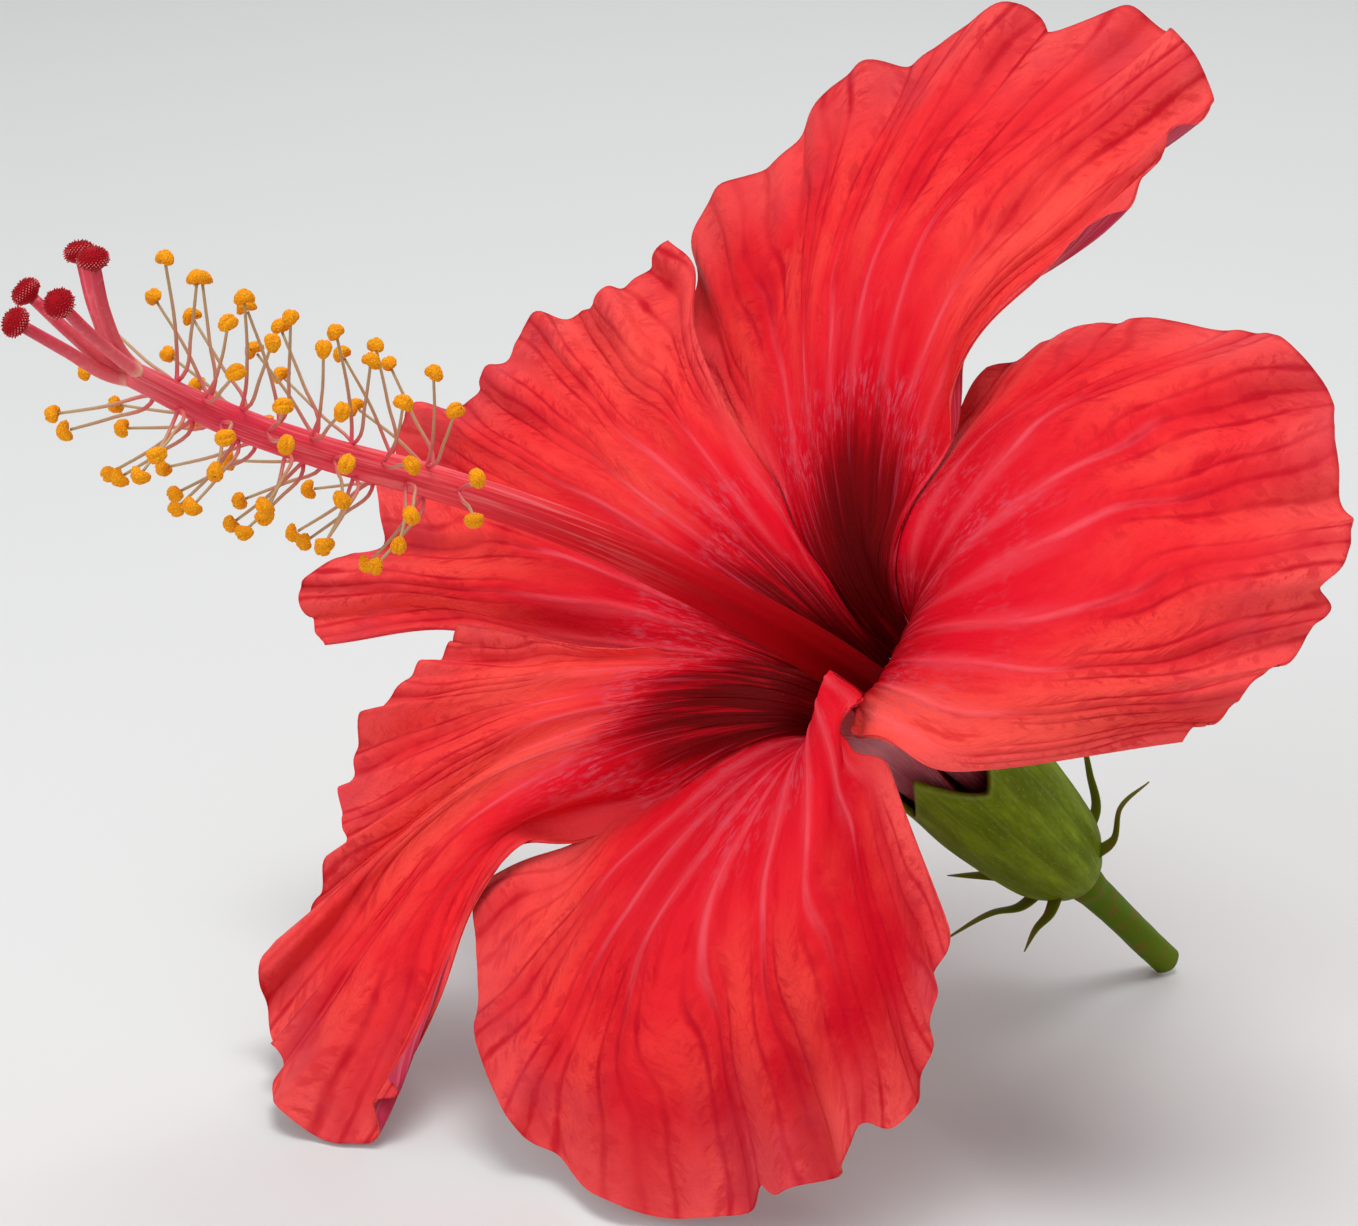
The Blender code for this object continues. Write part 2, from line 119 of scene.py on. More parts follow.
# heading: where the claw stands on the ring.
# throat: azimuths, reaches and heights at the first margin, the middle and the last.
# lap: first and last margin, -1 lies inside its neighbour and +1 outside.
# half: (azimuth, reach, height) half way out along the first margin and the last.
# crown: heights half way out at a quarter, a half and three quarters of the width.
# edge: points of the outer edge from the first margin to the last.
# nicks: (share across, half width, depth as a share).
# swells: (share across, half width, share out, half length, degrees round the axis, lift).
# tucks and curls: the same for the fine surface only, before and after the petals are laid.
# painted light and shade spots: (share across, half width, share out, half length, paler above 0 and deeper
# below), colour standing in for where a petal is lit or shaded.
# ruffle: (height, how many across) of its edge. pleat: (height, how many across).
# deep: how far out the dark throat reaches. The outermost petal comes first.
PETALS = {
    "petal_lower": {
        "heading": 377, "lap": (1, 1), "waves": 9,
        "throat": ((340, 384, 422), (9, 9, 8.5), (44, 47, 49)),
        "half": ((310, 28, 42.5), (421, 21, 54)), "crown": (47, 51, 54),
        "nicks": [(0.535, 0.02, 0.09), (0.715, 0.02, 0.09), (0.935, 0.03, 0.05), (0.3, 0.03, 0.05),
                  (0.43, 0.12, 0.04)],
        "edge": [(320, 46, 45.5), (336, 50, 48), (350, 55.5, 47), (359, 58, 44), (370, 59, 41),
                 (381, 57, 39.5), (388, 54.5, 41), (396, 53.5, 43), (404, 49, 44), (409, 43.5, 46),
                 (415, 37, 48)],
        "swells": [(0.0, 0.12, 0.81, 0.1, 4, -1)],
        "tucks": [(0.0, 0.14, 0.43, 0.12, -20, 1)],
        "curls": [(1.0, 0.34, 0.48, 0.08, 0, 7.5), (1.0, 0.12, 0.6, 0.05, -9, 0),
                  (1.0, 0.08, 0.515, 0.022, 4, -3.2), (1.0, 0.06, 0.56, 0.022, -5, 0)],
        "painted_light_and_shade_spots": [(0.1, 0.16, 0.85, 0.14, 0.8), (0.89, 0.13, 0.66, 0.09, -1.6),
                  (0.55, 0.3, 0.97, 0.12, -1.6), (0.85, 0.14, 0.84, 0.12, -0.7)],
        "ruffle": (0.7, 6), "pleat": (0.25, 6), "deep": 0.4,
    },
    "petal_right": {
        "heading": 91, "lap": (-1, 1), "waves": 8,
        "throat": ((50, 112, 180), (8.5, 8.5, 9), (49, 50, 45)),
        "half": ((68, 24.5, 53), (194, 22, 46.5)), "crown": (56, 56.5, 54),
        "nicks": [(0.345, 0.02, 0.08), (0.475, 0.02, 0.05), (0.8, 0.03, 0.04)],
        "edge": [(94, 44, 49), (99, 49, 50.5), (105, 54.5, 52), (112, 58.5, 54), (122, 57, 54),
                 (135, 55.5, 54), (152, 47.5, 53), (168, 39, 52), (184, 33, 49)],
        "tucks": [(1.0, 0.15, 0.48, 0.12, 14, 3)],
        "curls": [(0.0, 0.08, 0.5, 0.07, -8, -1.5), (0.95, 0.1, 0.95, 0.08, 0, 1.5)],
        "painted_light_and_shade_spots": [(0.08, 0.22, 0.76, 0.22, 1.0), (0.1, 0.1, 0.53, 0.1, 0.9),
                  (0.88, 0.12, 0.64, 0.12, -0.9), (0.45, 0.06, 0.94, 0.06, -0.6),
                  (0.62, 0.06, 0.95, 0.06, -0.5)],
        "ruffle": (0.8, 6), "pleat": (0.2, 6), "deep": 0.44,
    },
    "petal_upper": {
        "heading": 165, "lap": (-1, 1), "waves": 7,
        "throat": ((168, 203, 238), (9, 9, 9), (45, 45, 45)),
        "half": ((180, 24, 51.5), (237, 28, 50.5)), "crown": (57, 58, 55),
        "nicks": [(0.47, 0.03, 0.15), (0.605, 0.04, 0.11), (0.78, 0.04, 0.06)],
        "edge": [(171, 45, 58), (171, 56, 56), (173, 66, 54), (180, 72, 54), (188, 75, 55),
                 (199, 72.5, 58), (209, 67, 60), (218, 61, 60), (230, 58, 57), (239, 47.5, 54)],
        "tucks": [(0.0, 0.15, 0.76, 0.14, 4, 0)],
        "curls": [(0.0, 0.08, 0.84, 0.1, 0, 1.3)],
        "painted_light_and_shade_spots": [(0.2, 0.18, 0.8, 0.18, 0.8), (0.85, 0.14, 0.84, 0.12, -0.5)],
        "ruffle": (1.0, 7), "pleat": (0.35, 6), "deep": 0.55,
    },
    "petal_upper_left": {
        "heading": 236, "lap": (-1, 1), "waves": 8,
        "throat": ((226, 260, 292), (9, 9, 9.4), (45, 45, 44)),
        "half": ((236, 33, 53.5), (287, 38, 48.5)), "crown": (55, 55, 53),
        "nicks": [(0.7, 0.04, 0.04), (0.16, 0.04, 0.05)],
        "edge": [(235, 58.5, 57), (243, 57, 58), (251, 62, 58), (260, 61.5, 58), (267, 70.5, 57),
                 (277, 63.5, 57), (284, 71.5, 56), (289.5, 66, 54)],
        "tucks": [(1.0, 0.12, 0.84, 0.12, -3, 0)],
        "curls": [(0.0, 0.06, 0.93, 0.06, -3, 0)],
        "painted_light_and_shade_spots": [(0.15, 0.22, 0.88, 0.16, 0.8), (0.38, 0.16, 0.66, 0.12, 0.5),
                  (0.92, 0.12, 0.66, 0.09, -1.0), (0.7, 0.25, 0.86, 0.14, 0.6)],
        "ruffle": (0.9, 7), "pleat": (0.45, 6), "deep": 0.5,
    },
    "petal_lower_left": {
        "heading": 305, "lap": (-1, -1), "waves": 9,
        "throat": ((286, 320, 350), (9, 9, 9), (45, 45, 45)),
        "half": ((290, 27, 51), (319, 36, 46)), "crown": (52, 51, 49.5),
        "nicks": [(0.72, 0.045, 0.1), (0.92, 0.03, 0.05), (0.4, 0.03, 0.06)],
        "edge": [(287, 47, 54), (293, 51.5, 54), (300, 59.5, 52.5), (310, 60, 52), (317, 65.5, 51),
                 (323, 73, 50), (333, 74.5, 50), (342, 69, 50), (340, 60.5, 49)],
        "swells": [(1.0, 0.2, 0.58, 0.08, 4, 0), (1.0, 0.2, 0.75, 0.1, -3, 1)],
        "curls": [(0.93, 0.09, 0.645, 0.065, -5.5, 0), (1.0, 0.035, 0.64, 0.08, 3, -1),
                  (0.79, 0.033, 1.0, 0.1, -1.7, 2.4)],
        "painted_light_and_shade_spots": [(0.18, 0.2, 0.76, 0.2, 0.9), (0.56, 0.16, 0.72, 0.2, 1.0),
                  (0.92, 0.07, 0.56, 0.07, -1.0), (0.75, 0.1, 0.95, 0.08, -0.9)],
        "ruffle": (1.0, 8), "pleat": (0.9, 5), "deep": 0.58,
    },
}

# Staminal column: (azimuth, reach, height) along its middle, and its radius there.
COLUMN = [(0, 0, 2.75), (0, 0, 14), (0, 0, 28), (303, 1.4, 44), (335, 5, 67), (347, 9, 84),
          (351, 14.5, 101), (354, 19, 113), (355, 22.5, 124), (356, 24.7, 134)]
COLUMN_RADIUS = [2.3, 2.5, 2.6, 2.4, 2.1, 1.8, 1.6, 1.5, 1.4, 1.1]

# Style branches: where each leaves the tip in degrees round it, then the (azimuth,
# reach, height) of its stigma.
STYLES = {
    "style_1": (38, (342, 20, 141.5)), "style_2": (344, (359, 20, 143.7)),
    "style_3": (92, (345, 25, 143.2)), "style_4": (290, (5, 25, 145.5)),
    "style_5": (146, (354, 27.4, 144.6)),
}
STYLE_RADIUS = 0.55
STYLE_FOOT = (-0.1, 0.62)             # past the tip and off its middle, where a branch begins
STYLE_BULGE = (1.2, 0.95)             # the same where the branches part
STIGMA_RADIUS = 1.2555
PAPILLAE = 230
PAPILLAE_TURN = 2.399963

# Stamens: forked pairs of filaments set spirally on the outer part of the column.
STAMEN_PAIRS = 34
STAMEN_ZONE = (0.65, 0.965)
STAMEN_TURN_DEG = 137.5
STAMEN_LONG = (6.5, 9.5)
STAMEN_FOOT = 0.32                    # radius where a filament leaves the column
FILAMENT_RADIUS = (0.21, 0.13)        # from its foot to its anther
FILAMENT_OFF = 0.5                    # how far its foot stands off the column
FILAMENT_WAY = (0.86, 0.5)            # how much of it runs outwards and how much ahead
FORK_HALF = 0.45                      # half the gap between two filaments of a fork
ANTHER_SIZE = Vector((0.93, 0.72, 0.68))

# Calyx: (radius, height) of the outside, then the wall and the five pointed lobes.
CALYX_OUTSIDE = [(2.2, 0.3), (3.2, 1.2), (4.4, 3.2), (5.5, 6.2), (6.3, 10.5), (6.9, 15.0), (7.4, 20.0)]
CALYX_WALL = 0.7
CALYX_SINUS = 27.0
CALYX_LOBE = 7.5
CALYX_LOBE_HEADING = 35
CALYX_LOBE_DEG = 72.0
CALYX_RIBS = (0.16, 0.1)              # height of the broad ribs and of the fine ones

# Bracts: four points of the midrib each, as (azimuth, reach, height); the first lies in the calyx.
BRACTS = {
    "bract_1": [(122, 4.2, 4.0), (126, 6.6, 4.8), (142, 8.8, 6.6), (142, 13.2, 8.0)],
    "bract_2": [(168, 4.2, 4.0), (170, 6.4, 4.8), (180, 9.2, 7.5), (178, 12.5, 14.0)],
    "bract_3": [(350, 4.2, 3.8), (350, 6.6, 4.6), (348, 9.0, 7.0), (345, 15.0, 9.4)],
    "bract_4": [(24, 4.2, 3.8), (22, 6.6, 4.2), (16, 8.4, 4.6), (9, 10.8, 3.6)],
    "bract_5": [(216, 4.2, 3.8), (217, 6.6, 4.6), (218, 8.8, 6.0), (220, 11.5, 9.6)],
    "bract_6": [(262, 4.2, 3.8), (262, 6.6, 4.6), (262, 8.8, 6.4), (260, 11.5, 9.8)],
    "bract_7": [(306, 4.2, 3.8), (307, 6.6, 4.6), (308, 8.8, 6.2), (310, 11.5, 8.6)],
}
BRACT_HALF_WIDTH = 0.85
BRACT_HALF_THICK = 0.3

# Cut stalk: (height along the axis, radius), from the calyx down to the cut.
STALK = [(0.0, 2.0), (-2.0, 1.9), (-9.0, 1.7), (-19.4, 1.65)]
STALK_JOINT = (0.16, -1.3, 0.9)       # how far it swells, at which height, half length


# ---- curves


def polar(azimuth, reach, height):
    """A point from its azimuth in degrees, its reach from the axis and its height."""
    turn = math.radians(azimuth)
    return Vector((reach * math.cos(turn), reach * math.sin(turn), height))


def cubic(start, start_slope, end, end_slope, u, span=1.0):
    """A cubic curve from start to end, a share of the way along a span."""
    return (start * (2 * u**3 - 3 * u**2 + 1) + start_slope * (span * (u**3 - 2 * u**2 + u))
            + end * (3 * u**2 - 2 * u**3) + end_slope * (span * (u**3 - u**2)))


def through(points, stations, where):
    """The point at `where` on a smooth curve through points placed at stations."""
    last = len(points) - 1
    seg = max(i for i in range(last) if i == 0 or stations[i] <= where)

    def rise(i):
        return (points[i + 1] - points[i]) / (stations[i + 1] - stations[i])

    def slope(i):
        if i in (0, last):
            return rise(min(i, last - 1))
        before = stations[i] - stations[i - 1]
        after = stations[i + 1] - stations[i]
        return (rise(i - 1) * after + rise(i) * before) / (before + after)

    span = stations[seg + 1] - stations[seg]
    u = (where - stations[seg]) / span
    return cubic(points[seg], slope(seg), points[seg + 1], slope(seg + 1), u, span)


def along_row(row, share):
    """The point a share (0 to 1) of the way along a row of points."""
    marks = [0.0]
    for before, after in zip(row, row[1:]):
        marks.append(marks[-1] + (after - before).length)
    place = share * (len(row) - 1)
    index = min(int(place), len(row) - 2)
    return through(row, marks, marks[index] + (place - index) * (marks[index + 1] - marks[index]))


def smooth_path(points, count):
    """Points spread evenly in share along a smooth curve through the given points."""
    return [along_row(points, share) for share in shares(count)]


def shares(count, repeats=1):
    """Shares from 0 to 1 in even steps, each given as often as a ring has points."""
    return [i / (count - 1) for i in range(count) for _ in range(repeats)]


def blend(values, share):
    """A value a share of the way along a list."""
    return float(np.interp(share, shares(len(values)), values))


def column_point(share):
    """The middle of the staminal column a share of the way along it."""
    return along_row([polar(*point) for point in COLUMN], share)


def ease(values, low, high):
    """0 below low, 1 above high and smooth between, for an array."""
    part = np.clip((values - low) / (high - low), 0, 1)
    return part * part * (3 - 2 * part)


def hump(share, out, centre, across, station, length):
    """1 at one place of a petal, fading to 0 round it."""
    return np.exp(-((share - centre) / across) ** 2 - ((out - station) / length) ** 2)


def aside(ahead, up, degrees):
    """A direction square to `ahead`, turned round it from `up`."""
    turn = math.radians(degrees)
    return up * math.cos(turn) + ahead.cross(up) * math.sin(turn)


def sphere_point(turn, rise):
    """A point of the unit sphere."""
    return Vector((math.cos(turn) * math.cos(rise), math.sin(turn) * math.cos(rise), math.sin(rise)))


# ---- meshes


def flower_foot():
    """The calyx's foot in the frame, in metres: the middle of the stalk's upper end."""
    up = POSE @ Vector((0, 0, 1))
    spots = [vert.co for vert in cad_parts["stalk"].data.vertices]
    top = max(spot.dot(up) for spot in spots)
    ring = [spot for spot in spots if top - spot.dot(up) < 0.1 * MM]
    return sum(ring, Vector()) / len(ring)


FOOT = flower_foot()


def shown(name, data):
    """A new object of the scene."""
    thing = bpy.data.objects.new(name, data)
    bpy.context.scene.collection.objects.link(thing)
    return thing


def add_piece(node, points, faces, materials, values, kinds):
    """A smooth mesh in the flower's millimetres that stands for a node of the frame."""
    points = np.asarray(points, dtype=float)
    placed = (points @ np.array(POSE).T) * MM + np.array(FOOT)
    mesh = bpy.data.meshes.new(f"{node}_surface")
    mesh.from_pydata(placed.tolist(), [], faces)
    for name, numbers in values.items():
        attribute = mesh.attributes.new(name, "FLOAT", "POINT")
        attribute.data.foreach_set("value", np.asarray(numbers, dtype=np.float32).ravel())
    for mat in materials:
        mesh.materials.append(mat)
    mesh.polygons.foreach_set("material_index", np.asarray(kinds, dtype=np.int32))
    mesh.shade_smooth()
    mesh.update()
    piece = shown(f"{node}_surface", mesh)
    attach(piece, "root")
    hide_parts(node)


class Build:
    """Points, faces and values of one mesh, gathered from several closed forms."""

    def __init__(self):
        self.points, self.faces, self.kinds, self.values = [], [], [], {}

    def add(self, points, faces, kind=0, **values):
        """Adds one closed form; each value is a number for all of it or one per point."""
        first = len(self.points)
        self.points += [tuple(point) for point in points]
        self.faces += [tuple(first + i for i in face) for face in faces]
        self.kinds += [kind] * len(faces)
        for name, value in values.items():
            numbers = value if hasattr(value, "__len__") else [value] * len(points)
            self.values.setdefault(name, []).extend(numbers)

    def piece(self, node, slot, materials):
        """Makes the mesh stand for a node of the frame."""
        add_piece(node, self.points, self.faces, materials, self.values, self.kinds)


def ring_frames(path, across=None):
    """For each point of a path: (point, wide direction, thin direction)."""
    frames = []
    wide = across or (path[1] - path[0]).orthogonal()
    thin = (path[1] - path[0]).cross(wide)
    for i, point in enumerate(path):
        ahead = (path[min(i + 1, len(path) - 1)] - path[max(i - 1, 0)]).normalized()
        if abs(wide.normalized().dot(ahead)) > 0.8:
            wide = thin.cross(ahead)
        wide = (wide - ahead * wide.dot(ahead)).normalized()
        thin = ahead.cross(wide)
        frames.append((point, wide, thin))
    return frames


def ring_faces(rings, sides):
    """Faces of a closed form made of rings of points, with both ends filled."""
    faces = []
    for i in range(rings - 1):
        for k in range(sides):
            j = (k + 1) % sides
            faces.append((i * sides + k, i * sides + j, (i + 1) * sides + j, (i + 1) * sides + k))
    last = (rings - 1) * sides
    return [*faces, tuple(reversed(range(sides))), tuple(range(last, last + sides))]


def tube(path, sides, size, across=None):
    """Points and faces of a closed tube; size(i, turn) gives its (wide, thin) half widths."""
    points = []
    for i, (spot, wide, thin) in enumerate(ring_frames(path, across)):
        for k in range(sides):
            turn = 2 * math.pi * k / sides
            half_wide, half_thin = size(i, turn)
            spoke = wide * (half_wide * math.cos(turn)) + thin * (half_thin * math.sin(turn))
            points.append(spot + spoke)
    return points, ring_faces(len(path), sides)


def ball(centre, axes, rings, sides, shape):
    """Points and faces of a rounded form; shape(way) gives its point that way."""
    ways = [sphere_point(0, -math.pi / 2)]
    for i in range(1, rings):
        ways += [sphere_point(2 * math.pi * k / sides, math.pi * (i / rings - 0.5)) for k in range(sides)]
    ways.append(sphere_point(0, math.pi / 2))
    faces = [tuple(1 + i for i in face) for face in ring_faces(rings - 1, sides)[:-2]]
    top = len(ways) - 1
    for k in range(sides):
        j = (k + 1) % sides
        faces += [(0, 1 + j, 1 + k), (top, top - sides + k, top - sides + j)]
    return [centre + axes @ shape(way) for way in ways], faces


# ---- petals


def claw_point(petal, row, share):
    """A point on a row inside the calyx or funnel, standing off for its neighbours."""
    azimuth, reach, height = row
    first, last = petal["lap"]
    lap = first * (1 - share) + last * share
    if first == last:
        lap = first * abs(2 * share - 1)
    return polar(azimuth, reach + LAP_STEP * lap * min(1.0, reach - CLAW_FOOT[0]), height)


def half_way(petal, throat, edge, share):
    """The point half way out, drawn between throat and edge and bent by both margins."""
    first_rim, last_rim = [Vector([values[end] for values in petal["throat"]]) for end in (0, -1)]
    first_bend = Vector(petal["half"][0]) - (first_rim + Vector(petal["edge"][0])) / 2
    last_bend = Vector(petal["half"][1]) - (last_rim + Vector(petal["edge"][-1])) / 2
    spot = (throat + edge) / 2 + first_bend * (1 - share) + last_bend * share
    heights = [petal["half"][0][2], *petal["crown"], petal["half"][1][2]]
    return polar(spot.x, spot.y, through(heights, (0.0, 0.25, 0.5, 0.75, 1.0), share))


def petal_rows(petal, share):
    """The five points a petal passes through at one share of the way across it."""
    rows = [(petal["heading"] + (share - 0.5) * circle, reach, height)
            for reach, height, circle in (CLAW_FOOT, CLAW_COLLAR)]
    throat = Vector([through(values, (0.0, 0.5, 1.0), share) for values in petal["throat"]])
    edge = along_row([Vector(point) for point in petal["edge"]], share)
    rows = [claw_point(petal, row, share) for row in (*rows, throat)]
    rows.append(half_way(petal, throat, edge, share))
    rows.append(polar(*edge))
    return rows


def swell(swells, share, along, spot):
    """A point of a petal moved by local swells: round the axis and along it."""
    for *place, degrees, lift in swells:
        near = hump(share, along, *place)
        spot = Matrix.Rotation(math.radians(degrees * near), 3, "Z") @ spot
        spot.z += lift * near
    return spot


def petal_grid(petal, across, along):
    """The middle surface as the frame has it before its laps, as an array of points."""
    grid = np.zeros((across, along, 3))
    last = len(ROW_STATIONS) - 1
    for i in range(across):
        share = i / (across - 1)
        rows = petal_rows(petal, share)
        for j in range(along):
            out = j / (along - 1)
            outer = max(0.0, (out - NICK_FADE) / (1 - NICK_FADE))
            for centre, half_width, depth in petal["nicks"]:
                out -= depth * (1 - NICK_FADE) * outer * math.exp(-((share - centre) / half_width) ** 2)
            row = max(k for k in range(last) if k == 0 or ROW_STATIONS[k] <= out)
            place = row + (out - ROW_STATIONS[row]) / (ROW_STATIONS[row + 1] - ROW_STATIONS[row])
            wave = WAVE_HEIGHT * outer ** 2 * math.sin(2 * math.pi * petal["waves"] * share)
            spot = swell(petal.get("swells", ()), share, out, along_row(rows, place / last))
            grid[i, j] = spot + Vector((0, 0, wave))
    return grid


def grid_faces(across, along):
    """Quads of a grid of points, wound so that they face the outside of the flower."""
    return [(i * along + j, (i + 1) * along + j, (i + 1) * along + j + 1, i * along + j + 1)
            for i in range(across - 1) for j in range(along - 1)]


def near_petal(grid, laid, places):
    """Where grid points are near a laid petal: (place, point, its outer side, over it, beside it)."""
    surface = BVHTree.FromPolygons(laid.reshape(-1, 3).tolist(), grid_faces(*laid.shape[:2]))
    for place in places:
        point = Vector(grid[place])
        spot, outward, _, away = surface.find_nearest(point, LAP_SEARCH)
        if spot is not None:
            over = -outward.dot(point - spot)
            yield place, point, outward, over, math.sqrt(max(0.0, away ** 2 - over ** 2))


def lift_off(grid, laid, clear):
    """Lifts the points of a grid clear of a petal already laid; True where it lifted."""
    lifted = np.zeros(grid.shape[:2], dtype=bool)
    for place, point, outward, over, beside in near_petal(grid, laid, np.ndindex(lifted.shape)):
        short = clear - LAP_SLOPE * beside - over
        if short > 0 and point.z >= LAP_FROM:
            grid[place] = point - outward * short
            lifted[place] = True
    return lifted


def settle(grid, laid, clear, weight):
    """Draws the margins of a grid down onto a petal they lie over."""
    margin = zip(*np.nonzero(weight > 0.02))
    for place, point, outward, over, beside in near_petal(grid, laid, margin):
        if over > clear:
            share = weight[place] * max(0.0, 1 - beside / SETTLE_REACH)
            grid[place] = point + outward * ((over - clear) * share)


def neighbours_mean(grid):
    """Each point's neighbours, averaged."""
    total, count = np.zeros_like(grid), np.zeros((*grid.shape[:2], 1))
    for ahead, behind in ((np.s_[1:], np.s_[:-1]), (np.s_[:, 1:], np.s_[:, :-1])):
        for here, there in ((behind, ahead), (ahead, behind)):
            total[here] += grid[there]
            count[here] += 1
    return total / count


def lay_petals():
    """How far the laps move each coarse petal, laid from the outermost to the innermost."""
    laid, moves = [], {}
    for name, petal in PETALS.items():
        plain = petal_grid(petal, COARSE_ACROSS, COARSE_ALONG)
        grid = plain.copy()
        for _ in range(LAP_PASSES):
            lifted = np.zeros(grid.shape[:2], dtype=bool)
            for other in laid:
                lifted |= lift_off(grid, other, LAP_CLEAR)
            grid[lifted] += LAP_EASE * (neighbours_mean(grid) - grid)[lifted]
        for other in laid:
            lift_off(grid, other, LAP_CLEAR)
        laid.append(grid)
        moves[name] = grid - plain
    return moves


def stretch(grid, count, axis):
    """Resamples a grid to more points along one axis, on smooth curves."""
    grid = np.moveaxis(grid, axis, 0)
    place = np.linspace(0, len(grid) - 1, count)
    index = np.minimum(place.astype(int), len(grid) - 2)
    u = (place - index).reshape(-1, *[1] * (grid.ndim - 1))
    slope = np.gradient(grid, axis=0)
    fine = cubic(grid[index], slope[index], grid[index + 1], slope[index + 1], u)
    return np.moveaxis(fine, 0, axis)


def inward(grid):
    """Unit normals of a grid on the mouth's side."""
    across = np.gradient(grid, axis=0)
    out = np.gradient(grid, axis=1)
    normal = -np.cross(across, out)
    return normal / np.maximum(np.linalg.norm(normal, axis=2, keepdims=True), 1e-9)


def fan_values(share, out, seed):
    """The place across in veins: whole numbers lie half way between two main veins."""
    bend = 0.16 * np.sin(6.1 * out + 9.3 * share + seed) + 0.09 * np.sin(15 * out + 23 * share + 2 * seed)
    bend += 0.03 * np.sin(41 * out + 31 * share + 3 * seed)
    return VEINS * share + bend * ease(out, 0.3, 0.7)


def vein_steps(fan, out, floor, sine, band):
    """How far the main veins and their forks are, in vein spacings, for arrays or for nodes."""
    cell = floor(fan)
    away = [abs(fan - cell - 0.5)]
    place = out - sine(cell * 2.3) * 0.05
    for spread, start in VEIN_FORKS:
        away.append(abs(away[-1] - band(place, start, start + VEIN_FORK_LONG) * spread))
    return away


def petal_relief(petal, share, out, seed):
    """Height of veins, pleats and ruffles over the smooth petal, in mm."""
    main, forks, _ = vein_steps(fan_values(share, out, seed), out, np.floor, np.sin, ease)

    def line(away, size):
        return size[0] * np.exp(-(away / size[1]) ** 2)

    ridge = line(main, VEIN_RIDGE) * ease(out, 0.3, 0.42) * (1 - ease(out, 0.6, 0.74))
    groove = line(main, VEIN_GROOVE) * ease(out, 0.64, 0.8) + line(forks, FORK_GROOVE) * ease(out, 0.66, 0.8)
    height, count = petal["pleat"]
    phase = count * share + 0.06 * np.sin(6 * out) + 0.1 * seed
    pleat = height * np.sin(2 * math.pi * phase) * ease(out, 0.45, 0.9)
    height, count = petal["ruffle"]
    wave = np.sin(2 * math.pi * (count * share + 0.17 * np.sin(9 * share + seed)) + seed)
    wave += 0.45 * np.sin(2 * math.pi * (2.3 * count * share) + 2.1 * seed)
    sides = ease(np.minimum(share, 1 - share), 0.0, 0.05)
    ruffle = height * wave * ease(out, 0.78, 1.0) * (0.35 + 0.65 * sides)
    return ridge - groove + pleat + ruffle


def petal_solid(grid, thick):
    """Points and faces of a petal: its mouth side, its outer side and its rim."""
    across, along = grid.shape[:2]
    normal = inward(grid)
    half = thick[..., None] / 2
    inner = (grid + normal * half).reshape(-1, 3)
    outer = (grid - normal * half).reshape(-1, 3)
    count = across * along
    faces = grid_faces(across, along)
    out_faces = [tuple(count + i for i in face) for face in faces]
    in_faces = [tuple(reversed(face)) for face in faces]
    index = np.arange(count).reshape(across, along)
    sides = (index[0], index[1:, -1], index[-1, -2::-1], index[-2:0:-1, 0])
    loop = np.concatenate(sides).tolist()
    rim = [(here, there, count + there, count + here) for here, there in zip(loop, loop[1:] + loop[:1])]
    kinds = [0] * len(in_faces) + [1] * len(out_faces) + [0] * len(rim)
    return np.vstack((inner, outer)), in_faces + out_faces + rim, kinds


def moved(grid, swells, share, out):
    """A grid with local swells."""
    if not swells:
        return grid
    spots = [swell(swells, share[place], out[place], Vector(grid[place]))
             for place in np.ndindex(share.shape)]
    return np.array(spots).reshape(grid.shape)


def lay_fine(grid, laid, margin):
    """Settles and lifts a fine petal onto those already laid, evening out how far it moves."""
    plain = grid.copy()
    for _ in range(FINE_PASSES):
        for other in laid:
            settle(grid, other, FINE_CLEAR, margin)
        for other in laid:
            lift_off(grid, other, FINE_CLEAR)
        move = grid - plain
        for _ in range(8):
            move = (move + neighbours_mean(move)) / 2
        grid = plain + move
    for other in laid:
        lift_off(grid, other, FINE_LEAST)
    return grid


def add_petals(inside, outside):
    """The five petals, with their veins, pleats, ruffles and thin edges."""
    moves = lay_petals()
    laid = []
    share, out = np.meshgrid(shares(FINE_ACROSS), shares(FINE_ALONG), indexing="ij")
    thick = np.interp(out, (0.0, 0.5, 1.0), PETAL_THICK)
    margin = np.exp(-(np.minimum(share, 1 - share) / 0.1) ** 2)
    margin *= ease(out, 0.4, 0.46) * (1 - ease(out, 0.62, 0.74))
    for seed, (name, petal) in enumerate(PETALS.items()):
        grid = petal_grid(petal, FINE_ACROSS, FINE_ALONG)
        grid += stretch(stretch(moves[name], FINE_ACROSS, 0), FINE_ALONG, 1)
        grid += inward(grid) * petal_relief(petal, share, out, seed)[..., None]
        grid = lay_fine(moved(grid, petal.get("tucks"), share, out), laid, margin)
        laid.append(grid)
        points, faces, kinds = petal_solid(moved(grid, petal.get("curls"), share, out), thick)
        throat = 1 - ease(out, 0.5, 0.68)
        values = {"fan": fan_values(share, out, seed), "out": out, "seed": np.full_like(out, seed),
                  "zone": out + throat * (0.45 - petal["deep"] + 0.1 * (2 * share - 1) ** 2),
                  # painted light and shade from each petal's spots: paler where it is lit, deeper where it
                  # is shaded
                  "painted_light_and_shade": sum(amount * hump(share, out, *place) for *place, amount in petal["painted_light_and_shade_spots"])}
        values = {key: np.tile(numbers.ravel(), 2) for key, numbers in values.items()}
        add_piece(name, points, faces, [inside, outside], values, kinds)


# ---- the other pieces


